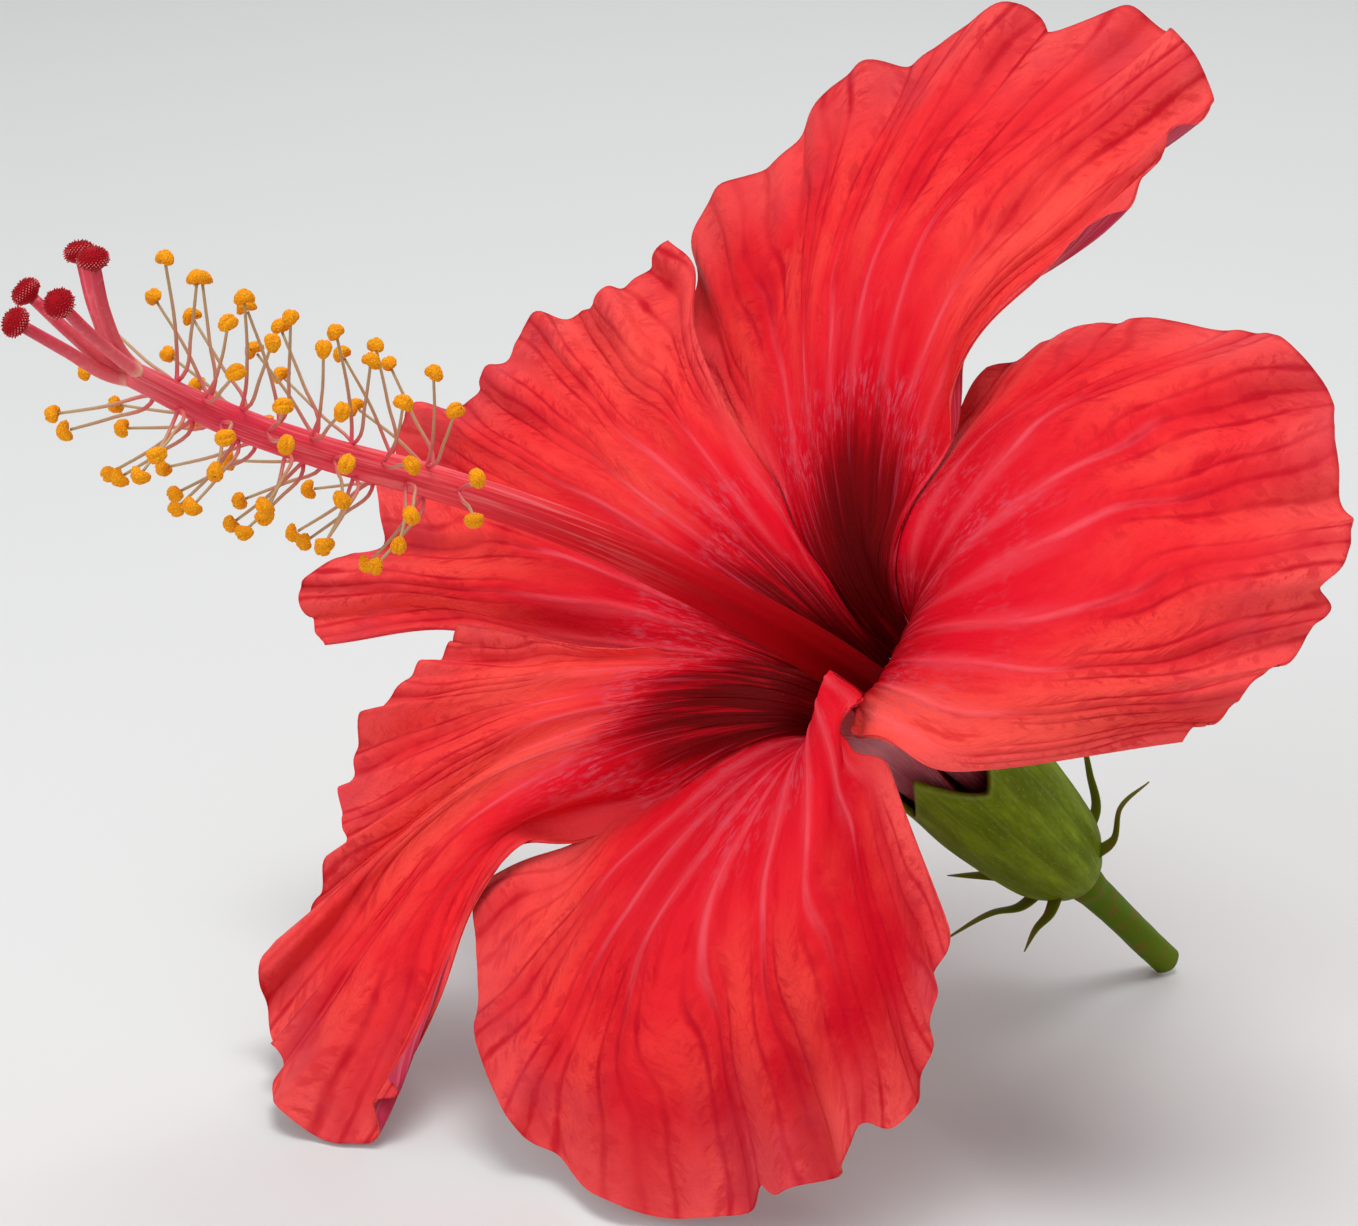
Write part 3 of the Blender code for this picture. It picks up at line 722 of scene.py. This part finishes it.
def add_column(mat):
    """The staminal column, finely ribbed and closed by a blunt tip."""
    count, sides = 220, 48
    path = [column_point(share) for share in shares(count)]
    radii = [blend(COLUMN_RADIUS, share) for share in shares(count)]
    tip, end = path[-1], radii[-1]
    heading = (path[-1] - path[-2]).normalized()
    rounding = ((0.2, 0.88), (0.4, 0.66), (0.5, 0.35))
    for ahead_by, shrink in rounding:
        path.append(tip + heading * ahead_by)
        radii.append(end * shrink)

    def size(i, turn):
        lump = noise.noise(Vector((math.cos(turn) * 1.3, math.sin(turn) * 1.3, i * 0.11)))
        radius = radii[i] * (1 + 0.012 * math.sin(10 * turn) + 0.03 * lump)
        return radius, radius

    form = Build()
    form.add(*tube(path, sides, size), out=shares(count, sides) + [1.0] * (len(rounding) * sides),
             fan=[abs(2 * k / sides - 1) * 8 for _ in path for k in range(sides)])
    form.piece("staminal_column", "column", [mat])


def add_styles(style_mat, stigma_mat):
    """Five style branches, each ending in a round velvety stigma with a pale fringe."""
    rings, sides = 26, 16
    tip = column_point(1.0)
    ahead = (tip - column_point(0.97)).normalized()
    up = (Vector((0, 0, 1)) - ahead * ahead.z).normalized()
    for name, (degrees, stigma) in STYLES.items():
        out = aside(ahead, up, degrees)
        start, bulge = [tip + ahead * along + out * off for along, off in (STYLE_FOOT, STYLE_BULGE)]
        end = polar(*stigma)
        middle = bulge + (end - bulge) * 0.45 + ahead * 0.8
        path = smooth_path([start, bulge, middle, end - (end - middle).normalized() * 0.3], rings)
        form = Build()
        thinned = [STYLE_RADIUS * (1.12 - 0.2 * share) for share in shares(rings)]
        form.add(*tube(path, sides, lambda i, _: [thinned[i]] * 2), out=shares(rings, sides))
        heading = (path[-1] - path[-2]).normalized()
        add_stigma(form, end + heading * 0.55, heading)
        form.piece(name, "style", [style_mat, stigma_mat])


def turned_to(heading):
    """Axes whose third one runs along the heading."""
    side = heading.orthogonal().normalized()
    return Matrix((side, heading.cross(side), heading)).transposed()


def add_stigma(form, centre, heading):
    """A flattened pad set with papillae, which stand out round its rim."""
    axes = turned_to(heading)

    def shape(way):
        rough = 1 + 0.05 * noise.noise(way * 7.0)
        return Vector((way.x, way.y, way.z * 0.72)) * (STIGMA_RADIUS * rough)

    form.add(*ball(centre, axes, 20, 32, shape), 1, out=0.0)
    sides, radii, paleness = 5, (0.062, 0.058, 0.02), (0.2, 0.7, 1.0)
    for i in range(PAPILLAE):
        rise = math.asin(-0.55 + 1.5 * (i + 0.5) / PAPILLAE)
        root = axes @ shape(sphere_point(i * PAPILLAE_TURN, rise))
        stem = root.normalized() * (0.16 + 0.06 * math.sin(i * 1.3))
        path = [centre + root * 0.97 + stem * share for share in (0.0, 0.6, 1.0)]
        rim = math.exp(-(rise / 0.5) ** 2)
        form.add(*tube(path, sides, lambda k, _: [radii[k]] * 2), 1,
                 out=[pale * rim for pale in paleness for _ in range(sides)])


def stamen_path(index, side):
    """Middle line of one filament of a forked pair, from its foot to its anther."""
    share = (index + 0.5) / STAMEN_PAIRS
    place = STAMEN_ZONE[0] + (STAMEN_ZONE[1] - STAMEN_ZONE[0]) * share
    centre = column_point(place)
    ahead = (column_point(place + 0.01) - column_point(place - 0.01)).normalized()
    up = Vector((0, 0, 1)).cross(ahead).normalized()
    out = aside(ahead, up, index * STAMEN_TURN_DEG)
    sideways = ahead.cross(out)
    foot = centre + out * (blend(COLUMN_RADIUS, place) + FILAMENT_OFF) + sideways * (side * FORK_HALF)
    wobble = math.sin(index * 2.4 + side)
    long = STAMEN_LONG[0] + (STAMEN_LONG[1] - STAMEN_LONG[0]) * (0.5 + 0.5 * wobble)
    spread = sideways * (side * (1.3 + 0.5 * math.sin(index * 1.7)))
    end = foot + out * long * FILAMENT_WAY[0] + ahead * (long * FILAMENT_WAY[1] + 0.8 * side) + spread
    root = centre + out * (blend(COLUMN_RADIUS, place) - 0.15)
    return [root, foot, foot + (end - foot) * 0.4 + out * 0.5, end]


def add_anther(form, centre, heading, index):
    """A kidney-shaped anther: bent round its filament, split along the top and grainy."""
    axes = turned_to(heading) @ Matrix.Rotation(index * 1.9, 3, "Z")

    def shape(way):
        grain = 1 + 0.1 * noise.noise(way * 4.5 + Vector((index, 0, 0)))
        grain += 0.06 * noise.noise(way * 11.0 + Vector((0, index, 0)))
        seam = 1 - 0.2 * math.exp(-(way.y / 0.16) ** 2) * max(0.0, way.z + 0.3)
        notch = 1 - 0.35 * math.exp(-(way.x / 0.45) ** 2) * max(0.0, -way.z)
        spot = way * ANTHER_SIZE * (grain * seam * notch)
        spot.z -= 0.3 * (spot.x / ANTHER_SIZE.x) ** 2
        return spot

    form.add(*ball(centre + heading * 0.55, axes, 16, 24, shape), 1, out=1.0)


def add_stamens(filament_mat, anther_mat):
    """The stamens: each piece is a forked pair with its two anthers."""
    rings, sides = 16, 8
    radii = [blend(FILAMENT_RADIUS, share) for share in shares(rings)]
    radii[0] = STAMEN_FOOT
    for index in range(STAMEN_PAIRS):
        form = Build()
        for side in (-1, 1):
            path = smooth_path(stamen_path(index, side), rings)
            form.add(*tube(path, sides, lambda i, _: [radii[i]] * 2), out=shares(rings, sides))
            heading = (path[-1] - path[-2]).normalized()
            add_anther(form, path[-1], heading, 2 * index + (side > 0))
        form.piece(f"stamen_pair_{index + 1:02d}", "stamen", [filament_mat, anther_mat])


def add_calyx(mat):
    """The calyx: ribbed, downy, with its five lobes just free at their tips."""
    around, levels = 240, 90
    profile = [Vector((radius, height, 0)) for radius, height in CALYX_OUTSIDE]
    columns = []                      # from the foot up the outside, then down the inside
    for i in range(around):
        azimuth = 360.0 * i / around
        lobe = abs(2 * ((azimuth - CALYX_LOBE_HEADING) / CALYX_LOBE_DEG % 1.0) - 1)
        rim = CALYX_SINUS + CALYX_LOBE * lobe ** 1.3
        line = profile + [Vector((7.45, (20 + rim) / 2, 0)), Vector((7.5 + 0.35 * lobe, rim, 0))]
        outer = []
        for share in shares(levels):
            spot = along_row(line, share)
            rib = CALYX_RIBS[0] * math.cos(math.radians(5 * (azimuth - CALYX_LOBE_HEADING)) + math.pi)
            rib += CALYX_RIBS[1] * abs(math.cos(math.radians(7.5 * azimuth))) ** 6
            radius = spot.x + rib * math.sin(math.pi * min(1.0, share * 1.1)) * min(1.0, spot.y / 4)
            outer.append(polar(azimuth, radius, spot.y))
        wall = [polar(azimuth, max(0.5, math.hypot(point.x, point.y) - CALYX_WALL), point.z)
                for point in reversed(outer[levels // 3:])]
        columns.append(outer + wall)
    rings = list(zip(*columns))
    outs = shares(levels) + [0.9] * (len(rings) - levels)
    form = Build()
    form.add([point for ring in rings for point in ring], ring_faces(len(rings), around),
             out=[share for share in outs for _ in range(around)],
             fan=[i / around * 5 for _ in rings for i in range(around)])
    form.piece("calyx", "calyx", [mat])


def add_bracts(mat):
    """The narrow, pointed leaves of the epicalyx, keeled along the back."""
    rings, sides = 30, 18
    for name, midrib in BRACTS.items():
        path = smooth_path([polar(*point) for point in midrib], rings)
        turn = math.radians(midrib[0][0])
        tangent = Vector((-math.sin(turn), math.cos(turn), 0))

        def size(i, angle):
            share = i / (rings - 1)
            wide = BRACT_HALF_WIDTH * (1 - 0.45 * share) * (1 - share ** 4) + 0.04
            keel = 1 + 0.5 * math.exp(-(math.cos(angle) / 0.25) ** 2) * (math.sin(angle) < 0)
            return wide, BRACT_HALF_THICK * keel * (1 - 0.7 * share)

        form = Build()
        form.add(*tube(path, sides, size, tangent), out=shares(rings, sides))
        form.piece(name, "bract", [mat])


def add_stalk(stalk_mat, cut_mat):
    """The cut stalk, with a swollen joint at the calyx and a flat, pale cut."""
    count, sides = 70, 40
    heights = [STALK[-1][0] * share for share in shares(count)]
    marks, widths = [-height for height, _ in STALK], [radius for _, radius in STALK]
    radii = [np.interp(-height, marks, widths) for height in heights]

    def size(i, turn):
        swelling, at, half = STALK_JOINT
        joint = swelling * math.exp(-((heights[i] - at) / half) ** 2)
        rib = 0.035 * math.sin(5 * turn + 0.1 * i) + 0.03 * noise.noise(Vector((turn, i * 0.15, 0)))
        radius = radii[i] + joint + rib
        return radius, radius

    form = Build()
    path = [Vector((0, 0, height)) for height in heights]
    form.add(*tube(path, sides, size), out=shares(count, sides))
    form.kinds[-1] = 1
    form.piece("stalk", "stalk", [stalk_mat, cut_mat])


# ---- materials


def colour(red, green, blue):
    """A colour given in screen values from 0 to 255, for a shader."""
    parts = [value / 255 for value in (red, green, blue)]
    return (*[part / 12.92 if part <= 0.04045 else ((part + 0.055) / 1.055) ** 2.4 for part in parts], 1.0)


def math_method(kind, swapped=False):
    """A method that puts a Math node behind a value, and another value where it takes two."""
    def method(self, *others):
        return self.look.math(kind, *((*others, self) if swapped else (self, *others)))
    return method


class Value:
    """What a node gives, so that sums of such values read as plain sums."""

    __add__ = math_method("ADD")
    __sub__ = math_method("SUBTRACT")
    __rsub__ = math_method("SUBTRACT", swapped=True)
    __mul__ = math_method("MULTIPLY")
    __or__ = math_method("MAXIMUM")
    __abs__ = math_method("ABSOLUTE")
    floor = math_method("FLOOR")
    sine = math_method("SINE")

    def __init__(self, look, socket):
        self.look, self.socket = look, socket

    def band(self, low, high):
        """0 below low, 1 above high and smooth between, or the reverse where high is lower."""
        first, last = (0.0, 1.0) if low < high else (1.0, 0.0)
        inputs = {"Value": self, "From Min": min(low, high), "From Max": max(low, high),
                  "To Min": first, "To Max": last}
        return self.look.node("MapRange", "Result", inputs, interpolation_type="SMOOTHSTEP")


class Looks:
    """A material, its colour so far and short ways to put nodes into it."""

    def __init__(self, name, roughness, **settings):
        self.mat = bpy.data.materials.new(name)
        self.mat.use_nodes = True
        self.shader = self.mat.node_tree.nodes["Principled BSDF"]
        self.base = None
        settings = {key.replace("_", " "): value for key, value in settings.items()}
        self.fill(self.shader, {"Roughness": roughness, **settings})

    def fill(self, node, inputs):
        """Links inputs of a node to the outputs of others, or sets them to plain values."""
        for key, value in inputs.items():
            if isinstance(value, Value):
                self.mat.node_tree.links.new(value.socket, node.inputs[key])
            else:
                node.inputs[key].default_value = value

    def node(self, kind, output, inputs, **settings):
        """Adds a node and gives one of its outputs."""
        node = self.mat.node_tree.nodes.new(f"ShaderNode{kind}")
        for name, value in settings.items():
            setattr(node, name, value)
        self.fill(node, inputs)
        return Value(self, node.outputs[output])

    def math(self, kind, *values):
        """A Math node over values, some of which may be plain numbers."""
        return self.node("Math", 0, dict(enumerate(values)), operation=kind)

    def read(self, *names):
        """Values that each point of the mesh carries."""
        return [self.node("Attribute", "Fac", {}, attribute_name=name) for name in names]

    @functools.cached_property
    def place(self):
        """The place on the object, in millimetres."""
        place = self.node("TexCoord", "Object", {})
        return self.node("VectorMath", 0, {0: place, "Scale": 1 / MM}, operation="SCALE")

    def cloud(self, scale, detail=3.0, rough=0.55, where=None):
        """Soft noise from 0 to 1 over the object, or over another vector."""
        inputs = {"Vector": where or self.place, "Scale": scale, "Detail": detail, "Roughness": rough}
        return self.node("TexNoise", "Fac", inputs)

    def strands(self, x, y, z=0.0, detail=4.0, rough=0.6):
        """Soft noise from 0 to 1 over numbers of its own."""
        return self.cloud(1.0, detail, rough, self.node("CombineXYZ", 0, {"X": x, "Y": y, "Z": z}))

    def cells(self, scale):
        """Distance over the object to the middle of the nearest of many cells."""
        return self.node("TexVoronoi", "Distance", {"Vector": self.place, "Scale": scale})

    def ramp(self, value, *stops):
        """Starts the colour as a ramp of (place, red, green, blue) stops."""
        self.base = self.node("ValToRGB", "Color", {"Fac": value})
        elements = self.base.socket.node.color_ramp.elements
        while len(elements) < len(stops):
            elements.new(0.5)
        for element, (at, *tint) in zip(elements, stops):
            element.position = at
            element.color = colour(*tint)

    def layer(self, share, tint):
        """Lays a share of another colour over the colour so far."""
        inputs = {"Factor": share, 6: self.base, 7: colour(*tint)}
        self.base = self.node("Mix", 2, inputs, data_type="RGBA")

    def finish(self, height=None, distance=0.1, strength=1.0, **others):
        """Links the colour and the bump, whose height is in units of `distance` mm."""
        inputs = {"Base Color": self.base, **others}
        if height is not None:
            bump = {"Height": height, "Distance": distance * MM, "Strength": strength}
            inputs["Normal"] = self.node("Bump", 0, bump)
        self.fill(self.shader, inputs)
        return self.mat


def petal_inside():
    """Coral red: pale veins that turn into dark, feathered creases partly deepened by painted shade, a
    nearly black throat, and painted light, shade and sheen in patches and along the margins.
    """
    look = Looks("petal_mouth_side", 0.5, Subsurface_Weight=0.06, Subsurface_Scale=0.0012,
                 Subsurface_Radius=(1.0, 0.15, 0.1), Specular_IOR_Level=0.04)
    fan, out, seed, zone, painted_light_and_shade = look.read("fan", "out", "seed", "zone", "painted_light_and_shade")

    def ripple(across, along, detail=4.0):
        """Noise drawn out along the veins, from -0.5 to 0.5."""
        return look.strands(fan * across, out * along, seed * 9.0, detail) - 0.5

    streak, fray, patch = ripple(3, 7, 5.0), ripple(4, 30), look.cloud(0.055)
    main, forks, _ = vein_steps(fan, out, Value.floor, Value.sine, Value.band)
    outer = (out + streak * 0.15).band(0.58, 0.8)
    zone = zone + streak * 0.14
    look.ramp(zone, (0.0, 84, 0, 2), (0.38, 92, 0, 3), (0.44, 124, 0, 8), (0.5, 184, 0, 20),
              (0.56, 208, 6, 32), (0.66, 222, 24, 40), (0.8, 228, 38, 44), (1.0, 226, 50, 54))
    # painted light and shade: paler coral where a petal is lit, deeper crimson where it is shaded
    painted_light_and_shade = painted_light_and_shade + streak * 0.8
    lively = zone.band(0.48, 0.58)
    look.layer(painted_light_and_shade.band(0.1, 1.1) * lively * 0.9, (244, 84, 74))
    look.layer(painted_light_and_shade.band(-0.1, -1.0) * lively * 0.9, (190, 0, 24))
    # painted light and shade in patches: paler coral between the veins where light falls, deep crimson
    # streaks where shade falls
    cell = (main + fray * 0.5).band(0.08, 0.42) * outer * patch.band(0.34, 0.62)
    look.layer(cell * 0.45, (240, 78, 66))
    look.layer(streak.band(0.0, 0.14) * patch.band(0.56, 0.42) * 0.5, (204, 0, 26))

    # pinker margins: painted light where the edge and the lapping sides of a petal catch the light
    inset = look.math("MINIMUM", fan, VEINS - fan)
    sides = inset.band(1.0, 0.0) * out.band(0.56, 0.7)
    look.layer(((out + streak * 0.1).band(0.86, 1.0) | sides) * 0.5, (230, 90, 88))

    # pale veins in the middle of the petal
    pale = (main + fray * 0.04).band(0.11, 0.0) * zone.band(0.54, 0.7)
    pale = pale * (out + streak * 0.4).band(0.82, 0.62) * inset.band(0.5, 2.0)
    glow = (main + streak * 0.5).band(0.3, 0.0) * lively * out.band(0.74, 0.56)
    pale = pale | glow * 0.4
    look.layer(pale * 0.55, (244, 108, 122))

    # dark creases: along the veins, feathered to both sides, and a fine net between them; darker red
    # veining, deepened by painted shade in the vein grooves
    crease = (main + fray * 0.14).band(0.09, 0.0) * out.band(0.6, 0.74)
    halo = (main + fray * 0.45).band(0.3, 0.0) * 0.55
    fork = (forks + fray * 0.12).band(0.07, 0.0) * out.band(0.64, 0.78)
    side = (fan * 2.0).floor() + seed * 9.0
    strokes = look.strands(main * 7.0 - out * 62.0, main * 1.6 + out * 26.0, side * 3.7, 4.0, 0.62)
    feather = strokes.band(0.47, 0.6) * main.band(0.5, 0.36)
    net = abs(ripple(5, 30, 3.0)).band(0.035, 0.0) * 0.5
    web = abs(ripple(10, 64, 2.0)).band(0.045, 0.0) * 0.3
    net = (net | web) * ripple(2, 8).band(-0.2, 0.06)
    fine = (feather | net) * 0.62
    mask = look.cloud(0.1).band(0.36, 0.6) * 0.55 + 0.45
    dark = (crease | halo | fork | fine) * outer * mask
    look.layer(dark * 0.85, (178, 0, 28))

    # dusk near the margins, and pale streaks where the throat ends, a painted sheen
    dusk = look.cloud(0.09, 4.0, 0.6).band(0.5, 0.64) * out.band(0.8, 0.97)
    look.layer(dusk * 0.45, (190, 50, 64))
    painted_sheen_streaks = ripple(9, 60, 5.0).band(-0.04, 0.12) * look.cloud(0.1).band(0.42, 0.58)
    painted_sheen_streaks = painted_sheen_streaks * zone.band(0.46, 0.53) * zone.band(0.68, 0.56)
    look.layer(painted_sheen_streaks * 0.5, (200, 84, 104))
    ray = ripple(8, 5, 3.0).band(0.06, 0.16) * zone.band(0.4, 0.46) * zone.band(0.56, 0.48)
    look.layer(ray * 0.5, (176, 60, 84))
    height = fray * 1.4 - dark * 0.6 + pale * 0.5 + look.cells(3.0) * 0.25
    return look.finish(height, 0.3, 0.4, Roughness=fray * 0.2 + 0.52)


def petal_outside():
    """Paler red with raised veins, downy and maroon at the claw."""
    look = Looks("petal_outer_side", 0.6, Sheen_Weight=0.1, Sheen_Roughness=0.5, Subsurface_Weight=0.1,
                 Subsurface_Scale=0.0015, Subsurface_Radius=(1.0, 0.25, 0.15), Specular_IOR_Level=0.15)
    fan, out, seed = look.read("fan", "out", "seed")
    streak = look.strands(fan * 4.0, out * 9.0, seed * 5.0)
    look.ramp(out + (streak - 0.5) * 0.06, (0.0, 110, 6, 22), (0.2, 128, 12, 30), (0.28, 196, 84, 98),
              (0.33, 236, 140, 148), (0.39, 160, 6, 28), (0.52, 176, 20, 42), (0.7, 190, 30, 54),
              (1.0, 182, 38, 70))
    main, forks, twigs = vein_steps(fan, out, Value.floor, Value.sine, Value.band)
    forks = forks.band(0.05, 0.015) * out.band(0.55, 0.65)
    twigs = twigs.band(0.03, 0.01) * out.band(0.7, 0.8)
    pale = (main.band(0.09, 0.03) | forks | twigs) * out.band(0.46, 0.6)
    look.layer(pale * 0.3, (224, 100, 116))
    hairs = look.strands(fan * 13.0, out * 26.0, seed, 4.0, 0.65)
    hairy = hairs.band(0.5, 0.62) * out.band(0.4, 0.34)
    look.layer(hairy * 0.5, (204, 150, 156))
    return look.finish(pale * 1.2 + streak * 0.8 + hairy * 0.6, 0.2, 0.6)


def column_look():
    """Coral red and satiny, darkening to maroon in the throat."""
    look = Looks("column_skin", 0.42, Subsurface_Weight=0.12, Subsurface_Scale=0.0015,
                 Specular_IOR_Level=0.25)
    out, fan = look.read("out", "fan")
    streak = look.strands(fan, out * 16.0, detail=5.0)
    look.ramp(out + (streak - 0.5) * 0.08, (0.0, 70, 0, 4), (0.28, 96, 0, 5), (0.38, 150, 0, 7),
              (0.47, 190, 0, 20), (0.57, 220, 20, 34), (0.68, 244, 70, 80), (0.9, 226, 48, 76),
              (1.0, 226, 90, 100))
    stripe = look.strands(fan * 2.2, out * 9.0, detail=3.0)
    outer = out.band(0.45, 0.6)
    look.layer(stripe.band(0.5, 0.64) * outer * 0.5, (240, 128, 128))
    look.layer(stripe.band(0.48, 0.38) * outer * 0.5, (192, 16, 36))
    return look.finish(streak + look.cloud(1.5), 0.08, 0.5)


def style_look():
    """Pinkish red, a little translucent."""
    look = Looks("style_skin", 0.4, Subsurface_Weight=0.2, Subsurface_Scale=0.001)
    look.ramp(*look.read("out"), (0.0, 234, 176, 150), (0.3, 222, 90, 98), (1.0, 196, 34, 62))
    grain = look.cloud(2.0)
    look.layer(grain.band(0.5, 0.7) * 0.3, (236, 130, 132))
    return look.finish(grain, 0.05, 0.5)


def stigma_look():
    """Velvety crimson, paler at the tips of its papillae."""
    look = Looks("stigma_velvet", 0.7, Sheen_Weight=0.45, Sheen_Roughness=0.3, Specular_IOR_Level=0.1,
                 Sheen_Tint=colour(255, 190, 190))
    look.ramp(*look.read("out"), (0.0, 156, 0, 16), (0.5, 190, 20, 40), (1.0, 240, 170, 164))
    return look.finish(look.cloud(5.0), 0.06, 0.7)


def filament_look():
    """Rosy at the foot, pale olive pink further out."""
    look = Looks("filament_skin", 0.45, Subsurface_Weight=0.2, Subsurface_Scale=0.0008)
    grain = look.cloud(1.4, 2.0)
    out, = look.read("out")
    look.ramp(out + (grain - 0.5) * 0.3, (0.0, 210, 40, 68), (0.3, 214, 84, 94),
              (0.6, 186, 140, 106), (1.0, 172, 156, 108))
    return look.finish(grain, 0.03, 0.4)


def anther_look():
    """Golden orange pollen with a few dark red specks."""
    look = Looks("anther_pollen", 0.75, Specular_IOR_Level=0.2, Subsurface_Weight=0.08,
                 Subsurface_Scale=0.0005)
    grains = look.cells(5.2)
    look.base = colour(255, 188, 22)
    look.layer(grains.band(0.15, 0.55), (240, 146, 0))
    look.layer(look.cloud(1.3).band(0.5, 0.66) * 0.6, (248, 156, 4))
    look.layer(look.cloud(2.2, 2.0).band(0.68, 0.74) * 0.8, (150, 36, 20))
    return look.finish(1.0 - grains, 0.14, 0.9)


def calyx_look():
    """Olive green in patches, with faint long veins, fine down and paler ends."""
    look = Looks("calyx_skin", 0.6, Specular_IOR_Level=0.08)
    out, fan = look.read("out", "fan")
    mottle = look.strands(fan * 3.0, out * 3.0)
    streak = look.strands(fan * 16.0, out * 5.0)
    down = look.strands(fan * 30.0, out * 36.0, detail=3.0)
    look.ramp(mottle + (streak - 0.5) * 0.3, (0.3, 86, 98, 0), (0.5, 106, 122, 2), (0.7, 134, 154, 16))
    vein = abs(look.math("FRACT", fan * 3.0) - 0.5)
    look.layer(vein.band(0.07, 0.02) * 0.22, (136, 152, 58))
    look.layer(out.band(0.965, 1.0) * 0.45, (140, 146, 70))
    look.layer(out.band(0.16, 0.04) * 0.5, (122, 134, 56))
    look.layer(down.band(0.56, 0.66) * 0.22, (156, 166, 96))
    return look.finish(down * 0.8 + streak * 0.8, 0.12, 0.6)


def leaf_look(name, green, brown, pale):
    """A plain leafy skin: green, browner in patches and paler towards the tip."""
    look = Looks(name, 0.55, Specular_IOR_Level=0.08)
    out, = look.read("out")
    look.base = colour(*green)
    look.layer(look.cloud(0.6, 4.0, 0.6).band(0.5, 0.66) * 0.6, brown)
    look.layer(out.band(0.5, 1.0) * 0.35, pale)
    return look.finish(look.cloud(2.4), 0.08, 0.6)


def cut_look():
    """The fresh cut: pale pith with greener patches."""
    look = Looks("stalk_cut", 0.65)
    mottle = look.cloud(1.5, 4.0)
    look.base = colour(176, 178, 120)
    look.layer(mottle.band(0.4, 0.6), (140, 140, 84))
    return look.finish(mottle, 0.1, 0.6)


def floor_look():
    """Pale paper, almost even, with a faint grain."""
    look = Looks("floor_paper", 0.8)
    look.base = colour(216, 216, 214)
    look.layer(look.cloud(0.02, 2.0) * 0.04, (205, 205, 205))
    return look.finish()


# ---- the studio


def add_floor():
    """A pale floor under the flower."""
    shape = bmesh.new()
    bmesh.ops.create_circle(shape, cap_ends=True, segments=96, radius=FLOOR_RADIUS)
    mesh = bpy.data.meshes.new("floor")
    shape.to_mesh(mesh)
    shape.free()
    mesh.materials.append(floor_look())
    shown("floor", mesh)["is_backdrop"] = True


def add_light():
    """Soft studio light: a pale surround and square lamps that look at the middle of the flower."""
    scene = bpy.context.scene
    scene.world = bpy.data.worlds.new("studio")
    scene.world.use_nodes = True
    surround = scene.world.node_tree.nodes["Background"]
    surround.inputs["Color"].default_value = SURROUND_COLOUR
    surround.inputs["Strength"].default_value = SURROUND_STRENGTH
    middle = Vector((cad_box[0] + cad_box[1]) / 2)
    for name, (place, size, watts) in LAMPS.items():
        lamp = bpy.data.lights.new(name, "AREA")
        lamp.size = size
        lamp.energy = watts
        thing = shown(name, lamp)
        thing.location = place
        thing.rotation_euler = (middle - Vector(place)).to_track_quat("-Z", "Y").to_euler()
    scene.view_settings.view_transform = "Standard"


def add_camera():
    """The camera: it looks down on the flower from the front."""
    down = math.radians(CAMERA_DOWN_DEG)
    turn = Matrix(((1, 0, 0), (0, math.sin(down), -math.cos(down)), (0, math.cos(down), math.sin(down))))
    data = bpy.data.cameras.new("camera")
    data.lens = data.sensor_width * CAMERA_AWAY / CAMERA_FIELD
    data.clip_start = 0.01
    camera = shown("camera", data)
    place = FOOT + turn @ (Vector((0, 0, CAMERA_AWAY)) - CAMERA_FOOT) * MM
    camera.matrix_world = Matrix.Translation(place) @ turn.to_4x4()
    bpy.context.scene.camera = camera


def main():
    add_camera()
    add_floor()
    add_light()
    add_petals(petal_inside(), petal_outside())
    add_column(column_look())
    add_styles(style_look(), stigma_look())
    add_stamens(filament_look(), anther_look())
    add_calyx(calyx_look())
    add_bracts(leaf_look("bract_skin", (100, 112, 22), (132, 100, 44), (152, 144, 64)))
    add_stalk(leaf_look("stalk_skin", (82, 108, 0), (126, 84, 30), (112, 124, 20)), cut_look())
    box = [[list(corner) for corner in pair] for pair in (cad_box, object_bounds())]


main()
